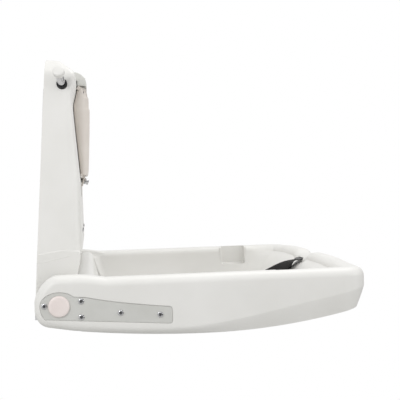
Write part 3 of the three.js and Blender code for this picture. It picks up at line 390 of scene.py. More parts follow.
def arc(centre, radius, start, end, steps=16):  # degrees, both ends included
    turns = [math.radians(mixed(start, end, i / steps)) for i in range(steps + 1)]
    return [(centre[0] + radius * math.cos(t), centre[1] + radius * math.sin(t)) for t in turns]


# one finished piece that stands for a CAD node
def settle(name, bm, node, others=(), place=None, angle=34):
    if place:
        bmesh.ops.transform(bm, matrix=place, verts=bm.verts)
    mesh = bpy.data.meshes.new(name)
    bm.normal_update()
    bm.to_mesh(mesh)
    bm.free()
    for face in mesh.polygons:
        face.use_smooth = True
    mesh.set_sharp_from_angle(angle=math.radians(angle))
    piece = bpy.data.objects.new(name, mesh)
    bpy.context.scene.collection.objects.link(piece)
    mesh.materials.clear()
    mesh.materials.append(finish[slotFinish[slotOf[node]]])
    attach(piece, bodyOf[node])
    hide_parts(node, *others)
    return piece


def evenShading(piece):  # large faces decide the normals at soft edges
    shading = piece.modifiers.new("evenShading", "WEIGHTED_NORMAL")
    shading.keep_sharp = True
    return piece


def looseObject(bm):
    mesh = bpy.data.meshes.new("loose")
    bm.to_mesh(mesh)
    bm.free()
    loose = bpy.data.objects.new("loose", mesh)
    bpy.context.scene.collection.objects.link(loose)
    return loose


def dropLoose(loose):
    mesh = loose.data
    bpy.data.objects.remove(loose)
    bpy.data.meshes.remove(mesh)


def baked(bm, modifiers):  # runs modifiers on a loose mesh and gives back the result
    loose = looseObject(bm)
    for kind, settings in modifiers:
        modifier = loose.modifiers.new(kind, kind)
        for key, value in settings.items():
            setattr(modifier, key, value)
    shape = bpy.context.evaluated_depsgraph_get()
    made = bmesh.new()
    made.from_mesh(loose.evaluated_get(shape).to_mesh())
    dropLoose(loose)
    return made


def gathered(shapes):  # separate shapes in one mesh
    bm = bmesh.new()
    for shape in shapes:
        bmesh.ops.recalc_face_normals(shape, faces=shape.faces)
        mesh = bpy.data.meshes.new("gathered")
        shape.to_mesh(mesh)
        shape.free()
        bm.from_mesh(mesh)
        bpy.data.meshes.remove(mesh)
    return bm


def carved(bm, steps):  # joins or cuts with other shapes, in order
    tools = [(looseObject(gathered(shapes)), way) for way, shapes in steps]
    made = baked(
        bm, [("BOOLEAN", {"object": tool, "operation": way, "solver": "EXACT"}) for tool, way in tools]
    )
    for tool, way in tools:
        dropLoose(tool)
    bmesh.ops.remove_doubles(made, verts=made.verts, dist=1e-3)
    return made


def loft(rings):  # skin through rings of equally many points
    bm = bmesh.new()
    column = bm.verts.layers.int.new("column")
    bmesh.ops.create_circle(bm, segments=len(rings[0]), radius=1)
    bm.verts.ensure_lookup_table()
    for vert in bm.verts:
        vert[column] = vert.index
        vert.co = rings[0][vert.index]
    edges = bm.edges[:]
    bmesh.ops.contextual_create(bm, geom=edges)
    for ring in rings[1:]:
        made = bmesh.ops.extrude_edge_only(bm, edges=edges)["geom"]
        edges = [g for g in made if isinstance(g, bmesh.types.BMEdge)]
        for g in made:
            if isinstance(g, bmesh.types.BMVert):
                g.co = ring[g[column]]
    bmesh.ops.contextual_create(bm, geom=edges)
    bmesh.ops.recalc_face_normals(bm, faces=bm.faces)
    return bm


# side outline of depth and height, carried along the wall
def slab(outline, x0, x1, rounding=0.0, segments=4):
    bm = bmesh.new()
    face = bm.faces.new([bm.verts.new((x0, -depth, height)) for depth, height in outline])
    made = bmesh.ops.extrude_face_region(bm, geom=[face])["geom"]
    bmesh.ops.translate(
        bm, verts=[g for g in made if isinstance(g, bmesh.types.BMVert)], vec=(x1 - x0, 0, 0)
    )
    bmesh.ops.recalc_face_normals(bm, faces=bm.faces)
    if rounding:
        rim = [e for e in bm.edges if abs(e.verts[0].co.x - e.verts[1].co.x) < 1e-6]
        bmesh.ops.bevel(
            bm, geom=rim, offset=rounding, segments=segments, profile=0.5, affect="EDGES", material=-1
        )
    return bm


def block(x, depth, height, rounding=0.0):
    bm = bmesh.new()
    bmesh.ops.create_cube(bm, size=1)
    spans = (sorted(x), sorted((-depth[0], -depth[1])), sorted(height))
    bmesh.ops.scale(bm, verts=bm.verts, vec=[high - low for low, high in spans])
    bmesh.ops.translate(bm, verts=bm.verts, vec=[(high + low) / 2 for low, high in spans])
    if rounding:
        bmesh.ops.bevel(
            bm, geom=bm.edges[:], offset=rounding, segments=4, profile=0.5, affect="EDGES", material=-1
        )
    return bm


# rows of radius and distance, spun about an axis
def turned(profile, origin=(0, 0, 0), direction=(0, 0, 1), steps=48):
    bm = bmesh.new()
    verts = [bm.verts.new((radius, 0, along)) for radius, along in profile]
    for a, b in zip(verts, verts[1:]):
        bm.edges.new((a, b))
    axis = {"cent": (0, 0, 0), "axis": (0, 0, 1), "angle": math.tau}
    bmesh.ops.spin(bm, geom=bm.verts[:] + bm.edges[:], steps=steps, use_merge=True, **axis)
    bmesh.ops.remove_doubles(bm, verts=bm.verts, dist=1e-4)
    bmesh.ops.recalc_face_normals(bm, faces=bm.faces)
    turn = Vector(direction).to_track_quat("Z", "Y").to_matrix().to_4x4()
    bmesh.ops.transform(bm, matrix=Matrix.Translation(origin) @ turn, verts=bm.verts)
    return bm


def softCopy(node, name, width, segments=3, angle=34):  # a CAD node's shape with its edges softened
    bm = bmesh.new()
    bm.from_mesh(frame["nodes"][node].data)
    bmesh.ops.remove_doubles(bm, verts=bm.verts, dist=2e-5)
    bmesh.ops.dissolve_limit(bm, angle_limit=math.radians(1.5), verts=bm.verts, edges=bm.edges)
    piece = settle(name, bm, node, angle=angle + 4)
    edge = piece.modifiers.new("softEdge", "BEVEL")
    edge.width = width * milli
    edge.segments = segments
    edge.limit_method = "ANGLE"
    edge.angle_limit = math.radians(angle)
    return evenShading(piece)


# moulded bed: u is the distance out from the hinge axis in the bed's own plane
bed = {
    "half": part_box("bed_shell")[1][0] / milli,
    "back": 22.0,
    "front": 536.0,
    "skin": 3.5,
    "rim": 45.5,
    "rimRound": 16.0,
    "rimFlat": 10.0,
    "rimInner": 14.0,
    "corner": {"rear": 8.0, "front": 46.0, "basinRear": 18.0, "basinFront": 62.0},
    "low": -57.5,  # lowest line of the underside, and where it is
    "lowAt": 255.0,
    "rearRise": 13.8,
    "frontRise": 36.0,
    "floorGap": 10.0,
    "lean": {"end": 16.0, "front": 42.0, "rear": 16.0},
    "wallFoot": 4.0,
    "fillet": 18.0,
    "bevel": 14.0,
    # bevel height at the rear and the front, and where it changes
    "crease": (15.0, 34.5, 200.0, 450.0),
    "grip": {
        "crown": 6.5, "dip": 1.5, "half": 46.0, "blend": 30.0, "span": (170.0, 395.0),
        "back": (121.0, 42.0),
    },
}
bed["basinInset"] = bed["rimRound"] + bed["rimFlat"] + bed["rimInner"]


def underside(u):
    if u < bed["lowAt"]:
        return bed["low"] + bed["rearRise"] * ((bed["lowAt"] - u) / (bed["lowAt"] - bed["back"])) ** 2
    return bed["low"] + bed["frontRise"] * ((u - bed["lowAt"]) / (bed["front"] - bed["lowAt"])) ** 2


def bedFloor(u):
    return underside(u) + bed["floorGap"]


def crease(u):
    rear, fore, start, end = bed["crease"]
    return underside(u) + mixed(rear, fore, eased(u, start, end))


def rimLift(x, u):  # the front rim is crowned on both sides of a dip for the hand
    grip = bed["grip"]
    crown = grip["crown"] * (1 - eased(abs(x), *grip["span"]))
    beside = eased(abs(x), grip["half"], grip["half"] + grip["blend"])
    return mixed(-grip["dip"], crown, beside) * eased(
        u, bed["front"] - grip["back"][0], bed["front"] - grip["back"][1]
    )


# one ring of the bed, seen from above
def planRing(half, back, front, rearRadius, frontRadius, height):
    rear, fore = back + rearRadius, front - frontRadius

    def corner(x, u, radius, start, steps):
        return [(x + dx, u - du) for dx, du in arc((0, 0), radius, start, start + 90, steps)]

    def run(a, b, steps):
        return [(mixed(a[0], b[0], i / steps), mixed(a[1], b[1], i / steps)) for i in range(1, steps)]

    plan = corner(half - rearRadius, rear, rearRadius, 0, 6)
    plan += run((half - rearRadius, back), (rearRadius - half, back), 30)
    plan += corner(rearRadius - half, rear, rearRadius, 90, 6)
    plan += run((-half, rear), (-half, fore), 26)
    plan += corner(frontRadius - half, fore, frontRadius, 180, 14)
    plan += run((frontRadius - half, front), (half - frontRadius, front), 72)
    plan += corner(half - frontRadius, fore, frontRadius, 270, 14)
    plan += run((half, fore), (half, rear), 26)
    return [Vector((x, -u, height(x, u))) for x, u in plan]


def outlineRing(inset, height, frontRadius=None):
    rearRadius = max(2.0, bed["corner"]["rear"] - inset)
    frontRadius = frontRadius or max(20.0, bed["corner"]["front"] - inset)
    return planRing(
        bed["half"] - inset, bed["back"] + inset, bed["front"] - inset, rearRadius, frontRadius, height
    )


def rimRing(inset, under, frontRadius=None):
    return outlineRing(inset, lambda x, u: bed["rim"] + rimLift(x, u) - under, frontRadius)


def basinRing(drop, grow=0.0, lower=0.0):  # drop runs from 0 under the rim to 1 at the floor
    lean, inset = bed["lean"], bed["basinInset"]

    def height(x, u):
        top = bed["rim"] - bed["rimInner"] + rimLift(x, u)
        return mixed(top, bedFloor(u) + bed["wallFoot"], drop) - lower

    half = bed["half"] - inset - lean["end"] * drop**2 + grow
    back = bed["back"] + inset + lean["rear"] * drop - grow
    front = bed["front"] - inset - lean["front"] * drop**0.75 + grow
    return planRing(half, back, front, bed["corner"]["basinRear"], bed["corner"]["basinFront"], height)


def floorRing(size, lower=0.0):
    middle = (bed["back"] + bed["front"]) / 2 - 10
    half = (bed["half"] - bed["basinInset"] - bed["lean"]["end"] - bed["fillet"]) * size
    reach = ((bed["front"] - bed["back"]) / 2 - bed["basinInset"] - 30 - bed["fillet"]) * size
    rear = (bed["corner"]["basinRear"] + bed["fillet"] / 2) * size
    fore = bed["corner"]["basinFront"] * size
    return planRing(half, middle - reach, middle + reach, rear, fore, lambda x, u: bedFloor(u) - lower)


# lower edge: rounded at the rear, a flat bevel with a crisp upper line at the front
def bevelRing(way):
    share = (1 - way) ** 2

    def height(x, u):
        power = mixed(2.6, 1.15, eased(u, 120, 330))
        return mixed(underside(u), crease(u), 1 - share ** (1 / power))

    return outlineRing(bed["bevel"] * share, height)


def filletRing(way):  # sweeps from the foot of the walls into the floor
    foot, floor = basinRing(1.0), floorRing(1.0)
    swept = [a.lerp(b, way) for a, b in zip(foot, floor)]
    return [Vector((p.x, p.y, bedFloor(-p.y) + bed["wallFoot"] * (1 - way) ** 2)) for p in swept]


def bedSkin():
    skin, rimRound, flat, inner = bed["skin"], bed[
        "rimRound"
    ], bed["rimRound"] + bed["rimFlat"], bed["rimInner"]
    hidden = [floorRing(size, skin) for size in (0.25, 0.62, 1.0)]
    hidden += [basinRing(drop, skin, 1.5) for drop in (1.0, 0.74, 0.38, 0.0)]
    hidden += [
        rimRing(bed["basinInset"] - skin - 4, skin + 4), rimRing(flat, skin + 1),
        rimRing(rimRound, skin + 1),
    ]
    hidden += [rimRing(skin + 1, rimRound + 1), outlineRing(skin, lambda x, u: crease(u))]
    hidden += [outlineRing(bed["bevel"] + skin, lambda x, u: underside(u))]
    shown = [bevelRing(way) for way in (0.0, 0.12, 0.25, 0.38, 0.5, 0.62, 0.75, 0.88, 1.0)]
    wallTop = bed["rim"] - rimRound
    for way in (0.03, 0.33, 0.66):
        shown.append(
            outlineRing(0, lambda x, u, way=way: mixed(crease(u), wallTop + rimLift(x, u), way))
        )
    for degrees in range(0, 91, 10):
        turn = math.radians(degrees)
        shown.append(rimRing(rimRound * (1 - math.cos(turn)), rimRound * (1 - math.sin(turn))))
    for degrees in range(0, 80, 13):
        turn = math.radians(degrees)
        radius = mixed(30.0, bed["corner"]["basinFront"], degrees / 90)
        shown.append(rimRing(flat + inner * math.sin(turn), inner * (1 - math.cos(turn)), radius))
    shown += [basinRing(i / 9) for i in range(10)]
    shown += [filletRing(way) for way in (0.2, 0.4, 0.6, 0.8)]
    shown += [floorRing(size) for size in (1.0, 0.8, 0.6, 0.4, 0.2)]
    return loft(hidden + shown)


ear = {"thick": 38.0, "top": 51.0, "rear": 41.5, "reach": 88.0, "round": 15.0, "innerRound": 5.0}


def earOutline():  # clockwise from the lower front
    rear, top, reach = ear["rear"], ear["top"], ear["reach"]
    points = [
        (reach, underside(reach) + 0.6), (55.0, underside(55) + 0.4),
        (bed["back"], underside(bed["back"]) + 0.3),
    ]
    points += [(-18.0, -36.5)] + bend((-18, -36.5), (3 - rear, -33), (-rear, -8), 12)
    points += [(-rear, 8.0)] + bend((-rear, 8), (4 - rear, 30), (-18, 45), 12)
    points += bend((-18, 45), (-9, top), (0, top), 8) + [(17.0, top), (30.0, top)]
    return points + bend((30, top), (56, top - 0.5), (reach, bed["rim"] - 2.5), 10)


def earShape(side):  # outline drawn in along its normals, so that both edges are round
    outline = earOutline()
    outward = []
    for i, point in enumerate(outline):
        legs = [(outline[i - 1], point), (point, outline[(i + 1) % len(outline)])]
        legs = [(a, b) for a, b in legs if not a[0] == b[0] == ear["reach"]]
        normals = [Vector((a[1] - b[1], b[0] - a[0])).normalized() for a, b in legs]
        middle = sum(normals, Vector((0, 0))).normalized()
        outward.append(middle / middle.dot(normals[0]))

    def ring(x, inset):
        drawn = zip(outline, outward)
        return [Vector((side * x, inset * away.x - u, v - inset * away.y)) for (u, v), away in drawn]

    rings = []
    for degrees in range(90, -1, -15):
        turn = math.radians(degrees)
        inset = ear["innerRound"] * (1 - math.cos(turn))
        rings.append(ring(bed["half"] - ear["thick"] + ear["innerRound"] * (1 - math.sin(turn)), inset))
    for degrees in range(0, 91, 10):
        turn = math.radians(degrees)
        inset = ear["round"] * (1 - math.cos(turn))
        rings.append(ring(bed["half"] - ear["round"] * (1 - math.sin(turn)), inset))
    return loft(rings)


# crown flattens the plate's head, lead is the pocket's chamfer
plate = {"head": 32.0, "crown": 0.72, "end": 191.0, "thick": 2.5, "recess": 3.0, "lead": 1.2}


def plateOutline(grow):
    end = plate["end"] + grow
    points = [
        (u, v * plate["crown"] if v > 0 else v)
        for u, v in arc((0, 0), plate["head"] + grow, 40, 222, 40)
    ]
    points += [(end - 5, -36.3 - grow)] + bend(
        (end - 5, -36.3 - grow), (end, -36.5 - grow), (end, -31), 6
    )
    points += [(end, -14.0)] + bend((end, -14), (end, -8.4 + grow), (end - 6, -8 + grow), 6)
    return points + bend((end - 6, -8 + grow), (96, 1 + grow), (45, 13 + grow), 24)


def platePocket(side):
    floor, lead = bed["half"] - plate["recess"], plate["lead"]
    levels = (
        (floor, 0.4), (bed["half"] - lead, 0.4), (bed["half"], 0.4 + lead),
        (bed["half"] + 6, 6.4 + lead),
    )
    return loft([[Vector((side * x, -u, v)) for u, v in plateOutline(grow)] for x, grow in levels])


slots = {
    "skirt": (359.0, 370.0),  # for the panel's skirts, in the rear rim
    "skirtReach": (0.0, 97.0),
    "skirtHeights": (-36.0, 90.0),
    "lining": 4.0,
    "pocket": (375.0, 432.0),  # for the bag hooks' caps, in the end walls
    "pocketFloor": 2.0,
    "pocketDepth": 22.0,
    "strap": (492.0, 506.0, 32.6, 38.4),
    "strapHalf": 26.0,
}
rearRim = [
    (23.5, -28), (30.5, -36), (38, -41), (70, -41.5), (64, 0), (60, 31), (50, 43), (38, 44), (28, 40),
    (23.5, 31),
]


def makeBed():
    fill, room = [], []
    start, end = slots["pocket"]
    face = bed["half"] - bed["basinInset"] - 8
    deep = bed["half"] - bed["basinInset"] + slots["pocketDepth"]
    for name, side in sides:
        near, far = slots["skirt"]
        fill.append(earShape(side))
        fill.append(slab(rearRim, side * (near - slots["lining"]), side * (far + slots["lining"])))
        lining = (side * (face + 6), side * (bed["half"] - bed["rimRound"] + 1))
        fill.append(
            block(lining, (start - 3.5, end + 3.5), (slots["pocketFloor"] - 3.5, bed["rim"] - 3))
        )
        room.append(platePocket(side))
        room.append(block((side * near, side * far), slots["skirtReach"], slots["skirtHeights"], 1.0))
        room.append(
            block(
                (side * (face - 14), side * deep), (start, end),
                (slots["pocketFloor"], bed["rim"] + 20), 5.0,
            )
        )
    back, front, low, high = slots["strap"]
    room.append(block((-slots["strapHalf"], slots["strapHalf"]), (back - 12, front), (low, high), 1.5))
    shell = carved(bedSkin(), [("UNION", fill), ("DIFFERENCE", room)])
    return evenShading(settle("bedMoulding", shell, "bed_shell", place=bedPlace))


makeBed()
softCopy("bed_cover", "bedUnderCover", 0.8)
print("bed moulded")


def rod(radius, origin, direction, start, end, steps=32):
    return turned([(0, start), (radius, start), (radius, end), (0, end)], origin, direction, steps)


# back panel: hollow, open at the rear; heights are above the hinge axis
panel = {
    "half": (bed["half"] - 54.5, bed["half"] - 88.5),
    "foot": 67.0,
    "top": 427.0,
    "rear": 10.0,
    "skin": 4.0,
    "footRise": (20.0, 20.0),  # rise of the lower edge, and the depth where it starts
    "corner": (18.0, 8.0),
    "depths": [
        (67, 87.5), (217, 78.5), (339, 61), (361, 58.5), (382, 63), (407, 65), (421, 42.5), (427, 34.5)
    ],
    "shoulder": (400.0, 22.0),
    "soft": 7.0,  # a bend is smoothed this far to both sides
    "edge": 5.0,
    "footEdge": 2.5,
    "bosses": ((122.0, 120.0), (122.0, 345.0)),
    "bossHalf": 9.0,
    "skirt": (361.5, 367.5),
    "skirtRear": (84.0, -24.0),
    "skirtRound": 24.0,
    "skirtFront": [(80.0, 40.0), (82.0, 60.0), (84.5, 68.0)],
    "skirtHead": [(85.2, 80.0), (84.6, 92.0), (hinge["out"], 93.0)],
    "slot": ((-110.0, 110.0), (30.0, 150.0), (184.0, 385.0)),
}
hook = {
    "height": 383.5, "depth": 41.5, "along": (42.0, 5.8, 19.0), "shank": 6.9, "bezel": 9.2, "cap": 10.5,
    "length": 43.0,
}


def panelFront(z):
    steps = [i * panel["soft"] / 4 for i in range(-4, 5)]
    return sum(readOff(panel["depths"], z + step) for step in steps) / len(steps)


def panelHalf(z):
    foot, top = panel["half"]
    start, lean = panel["shoulder"]
    share = (z - panel["foot"]) / (panel["top"] - panel["foot"])
    return mixed(foot, top, share) - lean * eased(z, start, panel["top"] + 4)


def panelRing(z, inset, rear):  # one level of the panel, seen from above
    half, depth = panelHalf(z) - inset, panelFront(z) - inset
    corner = max(1.5, mixed(*panel["corner"], eased(z, 200, 380)) - inset / 2)
    plan = [(mixed(corner - half, half - corner, i / 24), depth) for i in range(25)]
    side = [(half - corner + dx, depth - corner + dy) for dx, dy in arc((0, 0), corner, 81, 0, 9)]
    side += [(half, mixed(depth - corner, rear, i / 5)) for i in range(1, 6)]
    plan += side + [(mixed(half, -half, i / 8), rear) for i in range(1, 8)]
    plan += [(-x, d) for x, d in reversed(side)]
    rise, start = panel["footRise"]
    slope = rise / (panel["depths"][0][1] - start)
    fade = 1 - eased(z, panel["foot"], 200)
    return [Vector((x, -d, z + slope * max(0.0, d - start) * fade)) for x, d in plan]


def skirtOutline():  # the panel's side carried down to the hinge
    points = [(panel["rear"], height) for height in panel["skirtRear"]]
    points += arc((hinge["out"], 0), panel["skirtRound"], -90, 0, 14) + panel["skirtFront"][:1]
    return points + bend(*panel["skirtFront"], 6) + panel["skirtHead"]


def hookFrom(side):
    return (side * panelHalf(hook["height"]), -hook["depth"], hook["height"])


def hookAlong(side):
    return (side * hook["along"][0], hook["along"][1], hook["along"][2])


def makePanel():
    levels = [78, 92, 110, 130, 155, 180, 205, 217, 230, 250, 275, 300, 320] + list(range(330, 422, 4))
    turns = [math.radians(degrees) for degrees in range(0, 91, 15)]
    rings = []
    for turn in turns:
        inset = panel["footEdge"] * (1 - math.sin(turn))
        rings.append(
            panelRing(panel["foot"] + panel["footEdge"] * (1 - math.cos(turn)), inset, panel["rear"])
        )
    rings += [panelRing(z, 0, panel["rear"]) for z in levels]
    for turn in turns:
        inset = panel["edge"] * (1 - math.cos(turn))
        rings.append(
            panelRing(panel["top"] - panel["edge"] * (1 - math.sin(turn)), inset, panel["rear"] + inset)
        )
    inner = [panel["foot"] + panel["skin"]] + levels[:-2] + [panel["top"] - 11]
    hollow = loft([panelRing(z, panel["skin"], panel["rear"] - panel["skin"]) for z in inner])
    bushRoom = (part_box("pivot_bush_left")[1][2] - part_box("pivot_bush_left")[0][2]) / 2 / milli + 1
    fill, room = [], [block(*panel["slot"], 2.0)]
    for name, side in sides:
        near, far = panel["skirt"]
        fill.append(slab(skirtOutline(), side * near, side * far, 2.6))
        room.append(rod(bushRoom, (0, -hinge["out"], 0), (side, 0, 0), near - 5, far + 5, 48))
        room.append(rod(hook["bezel"] + 0.3, hookFrom(side), hookAlong(side), -22, 12, 48))
        for x, z in panel["bosses"]:
            span = (side * (x - panel["bossHalf"]), side * (x + panel["bossHalf"]))
            fill.append(
                block(span, (3.3, panelFront(z) - 2), (z - panel["bossHalf"], z + panel["bossHalf"]))
            )
            room.append(rod(2.8, (side * x, 0, z), (0, -1, 0), 0, 150, 20))
    shell = carved(loft(rings), [("DIFFERENCE", [hollow]), ("UNION", fill), ("DIFFERENCE", room)])
    return evenShading(settle("panelMoulding", shell, "back_panel", place=wallPlace))


makePanel()
softCopy("wall_frame", "wallFrame", 0.7)
print("panel moulded")


# bag hooks: ring at the peg's foot, dark to paint the shade where the peg enters the panel; plated peg
# and moulded cap
for name, side in sides:
    place, along, bore = hookFrom(side), hookAlong(side), hook["shank"] + 0.3
    out, cap, end = hook["bezel"], hook["cap"], hook["length"]
    ring = [
        (bore, -7), (out, -7), (out, 2.6), (out - 0.3, 3.4), (out - 0.8, 3.7), (bore + 0.4, 3.7),
        (bore, 3.3), (bore, -7),
    ]
    # the ring's dark finish is painted shade at the peg's foot
    settle("hookRing_" + name, turned(ring, place, along), "hook_bezel_" + name, place=wallPlace)
    peg = [(0, -15.0), (6.2, -15.0), (6.9, -14.3), (6.9, end - 0.5), (6.4, end), (0, end)]
    settle("hookPeg_" + name, turned(peg, place, along), "hook_shank_" + name, place=wallPlace)
    knob = [
        (0, 0.3), (bore, 0.3), (bore, -7), (9.4, -7), (10.2, -6.6), (cap, -5.6), (cap, 0.6), (10.2, 2.2)
    ]
    knob += [(9.3, 3.4), (7.6, 4.1), (4, 4.6), (0, 4.8)]
    knob = [(radius, end + reach) for radius, reach in knob]
    settle("hookKnob_" + name, turned(knob, place, along), "hook_cap_" + name, place=wallPlace)
    softCopy("hook_nut_" + name, "hookNut_" + name, 0.4)
print("hooks made")


# liner dispenser
door = {
    "half": 150.0,
    "foot": 227.0,
    "head": 395.0,
    "wall": 3.0,
    "round": 26.0,  # the ends curve back to the panel
    "gap": 1.2,
    "pin": (76.5, 387.5),
    "lean": 0.3,
    "face": [
        (86.5, 227), (89.5, 227.6), (91.3, 229.4), (92.4, 232.5), (93, 238), (93, 262), (92.5, 295),
        (91.9, 330), (91.2, 353), (90.9, 355.6),
    ]
    + [
        (89.6, 357.4), (89.3, 359), (88.9, 367), (88.3, 375.5), (88, 377.6), (86.6, 379.4), (86, 381),
        (84.6, 388), (82.6, 393),
    ]
    + [(79.6, 396.6), (75, 398), (71.4, 397.2), (68.8, 395), (67.2, 392)],
    "chin": [(87.5, 231), (82.2, 206), (79.2, 206), (84.5, 231)],
    "chinHalf": 35.0,
    "tab": (134.4, 137.6),
    "rib": 4.0,
    "knuckle": 5.5,
    "slit": (377.6, 401.0),
}
lock = {"from": (0, -84.524, 217.0), "along": (0, -0.9781476, -0.2079117), "radius": 6.2, "head": 9.4}
hood = {
    "half": 154.0,
    "wall": 3.5,
    "outer": [(65.1, 399), (83.5, 399)] + bend((83.5, 399), (83.4, 417.5), (66, 424.3), 12)
    + [(62.5, 425), (44.5, 425.5), (42.8, 421.8), (65.3, 407.4)],
    "inner": [(68.9, 398), (80, 398), (79, 411.5), (68.9, 418)],
}


def doorBack(z):
    return readOff(panel["depths"], z) + door["gap"] + max(0.0, z - door["pin"][1]) * door["lean"]


def doorBulge():  # the face carried along the door, drawn back to the panel at its round ends
    turns = [
        math.radians(degrees) for degrees in (-35, -26, -16, -6, 4, 14, 24, 34, 44, 54, 64, 74, 82, 90)
    ]
    first = math.sin(turns[0])
    places = [
        (door["half"] - door["round"] * (1 - math.cos(t)), (math.sin(t) - first) / (1 - first))
        for t in turns
    ]
    places = [(-x, share) for x, share in places] + [(-60, 1.0), (0, 1.0), (60, 1.0)] + places[::-1]
    face = [
        (doorBack(door["foot"]), door["foot"]), (door["face"][0][0] - 4, door["foot"])
    ] + door["face"]
    bm = bmesh.new()
    bmesh.ops.create_grid(bm, x_segments=len(places) - 1, y_segments=len(face) - 1, size=1)
    for vert in bm.verts:
        x, share = places[round((vert.co.x + 1) / 2 * (len(places) - 1))]
        depth, z = face[round((vert.co.y + 1) / 2 * (len(face) - 1))]
        vert.co = (x, -mixed(doorBack(z), depth, share), z)
    bmesh.ops.remove_doubles(bm, verts=bm.verts, dist=0.01)
    return baked(bm, [("SOLIDIFY", {"thickness": door["wall"], "offset": -1.0})])


def makeDoor():
    depth, height = door["pin"]
    near, far, knuckle = door["tab"][0] - 0.4, door["tab"][1] + 0.4, door["knuckle"]
    fill = [slab(door["chin"], -door["chinHalf"], door["chinHalf"], 1.0)]
    room = [rod(door["knuckle"] + 0.9, lock["from"], lock["along"], -12, 6)]
    for name, side in sides:
        for a, b in ((near - door["rib"], near), (far, far + door["rib"])):
            fill.append(
                block(
                    (side * a, side * b), (depth - knuckle, depth + knuckle),
                    (height - knuckle, door["head"] - 1),
                )
            )
        room.append(block((side * near, side * far), (depth - 12, 120), door["slit"]))
    bores = [rod(2.9, (0, -depth, height), (side, 0, 0), near - 9, far + 9, 20) for name, side in sides]
    shell = carved(doorBulge(), [("UNION", fill), ("DIFFERENCE", room), ("DIFFERENCE", bores)])
    return evenShading(settle("linerDoor", shell, "dispenser_door", place=wallPlace, angle=28))


def makeHood():
    depth, height = door["pin"]
    inside = slab(hood["inner"], hood["wall"] - hood["half"], hood["half"] - hood["wall"])
    tabs, knuckles, bores = [], [], []
    for name, side in sides:
        span = [side * x for x in door["tab"]]
        tabs.append(block(span, (depth - 8, depth + 4), (height, 416)))
        knuckles.append(rod(door["knuckle"], (0, -depth, height), (side, 0, 0), *door["tab"], 36))
        bores.append(
            rod(2.8, (0, -depth, height), (side, 0, 0), door["tab"][0] - 5, door["tab"][1] + 5, 20)
        )
    steps = [("DIFFERENCE", [inside]), ("UNION", tabs), ("UNION", knuckles), ("DIFFERENCE", bores)]
    shell = carved(slab(hood["outer"], -hood["half"], hood["half"], 2.2), steps)
    return evenShading(settle("linerHood", shell, "dispenser_hood", place=wallPlace))


def makeLock():  # round head with a groove and a keyway
    r, end = lock["radius"], lock["head"]
    profile = [
        (0, -22), (4.6, -22), (5, -21.4), (5, 0.4), (r - 0.3, 0.4), (r, 0.7), (r, 3.0), (r - 0.3, 3.2),
        (r - 1.2, 3.4),
    ]
    profile += [
        (r - 1.2, 5.0), (r - 0.3, 5.2), (r, 5.4), (r, end - 1.2), (r - 0.4, end - 0.4), (r - 1.2, end),
        (0, end),
    ]
    keyway = block((-0.8, 0.8), (-4, 4), (end - 3, end + 3))
    shape = carved(turned(profile), [("DIFFERENCE", [keyway])])
    turn = Vector(lock["along"]).to_track_quat("Z", "Y").to_matrix().to_4x4()
    return settle(
        "doorLock", shape, "lock_barrel", place=wallPlace @ Matrix.Translation(lock["from"]) @ turn
    )


makeDoor()
makeHood()
makeLock()
softCopy("lock_cam", "lockCam", 0.4)
softCopy("liner_bin", "linerBin", 0.8)
for name, side in sides:
    softCopy("door_pin_" + name, "doorPin_" + name, 0.3)

liners = {
    "count": 8, "half": 98.0, "rear": 33.4, "pitch": 2.45, "foot": 188.0, "head": 336.0, "gap": 0.9,
    "thick": 0.5,
}


def makeLiner(index):  # one paper sheet folded in half, its two leaves a little parted at the top
    wave = math.sin(2.3 * index + 0.7)
    middle = liners["rear"] + liners["pitch"] * (index + 0.5)
    gap, foot = liners["gap"], liners["foot"] + 0.8 * abs(wave)
    top = liners["head"] - 5 + 4 * wave
    leaf = [i / 12 for i in range(13)]
    side = [(gap * 0.5 + 0.35 * t * t, mixed(top, foot + 1, 1 - t)) for t in leaf]
    route = [
        (middle - d, z) for d, z in reversed(side)
    ] + [(middle, foot)] + [(middle + d, z) for d, z in side]
    bm = bmesh.new()
    columns = 14
    bmesh.ops.create_grid(bm, x_segments=columns, y_segments=len(route) - 1, size=1)
    for vert in bm.verts:
        row = round((vert.co.y + 1) / 2 * (len(route) - 1))
        depth, z = route[row]
        x = vert.co.x * (liners["half"] - 1 - 0.6 * abs(wave))
        lean = 0.25 * math.sin(x / 31 + index) * eased(z, foot + 20, top)
        vert.co = (x, -depth - lean, z)
    paper = baked(bm, [("SOLIDIFY", {"thickness": liners["thick"], "offset": 0.0})])
    sheet = settle("paperLiner_%d" % (index + 1), paper, "liner_stack", place=wallPlace, angle=60)
    return sheet


for index in range(liners["count"]):
    makeLiner(index)
print("dispenser made")


# hinge: painted plate, domed cap and cross-head screws at each end
# recess width, span and depth
screw = {"head": 5.0, "shank": 2.5, "rise": 2.0, "recess": (1.5, 5.4, 3.2)}
plateScrews = ((-24.6, 1.3), (37.3, 7.3), (37.2, -19.5), (103.6, -15), (170.5, -20.8))


def screwShape(length):
    head, rise, shank = screw["head"], screw["rise"], screw["shank"]
    profile = [
        (0, length), (shank - 0.6, length), (shank, length - 0.8), (shank, 0), (head, 0),
        (head, -0.35 * rise),
    ]
    profile += [(head - 0.35, -0.6 * rise), (head - 1.1, -0.85 * rise), (head - 2.2, -rise), (0, -rise)]
    wide, span, deep = screw["recess"]
    bars = [
        block((-a / 2, a / 2), (-b / 2, b / 2), (-rise - 1, deep - rise), 0.3)
        for a, b in ((wide, span), (span, wide))
    ]
    return carved(turned(profile, steps=32), [("DIFFERENCE", [bar]) for bar in bars])


def setScrews(shape, rows, frameOf):  # rows of node, place and inward direction
    for node, place, inward in rows:
        words = node.split("_")
        turn = Vector(inward).to_track_quat("Z", "Y").to_matrix().to_4x4()
        settle(
            words[0] + "Screw_" + "_".join(words[2:]),
            shape.copy(),
            node,
            place=frameOf @ Matrix.Translation(place) @ turn,
        )
    shape.free()


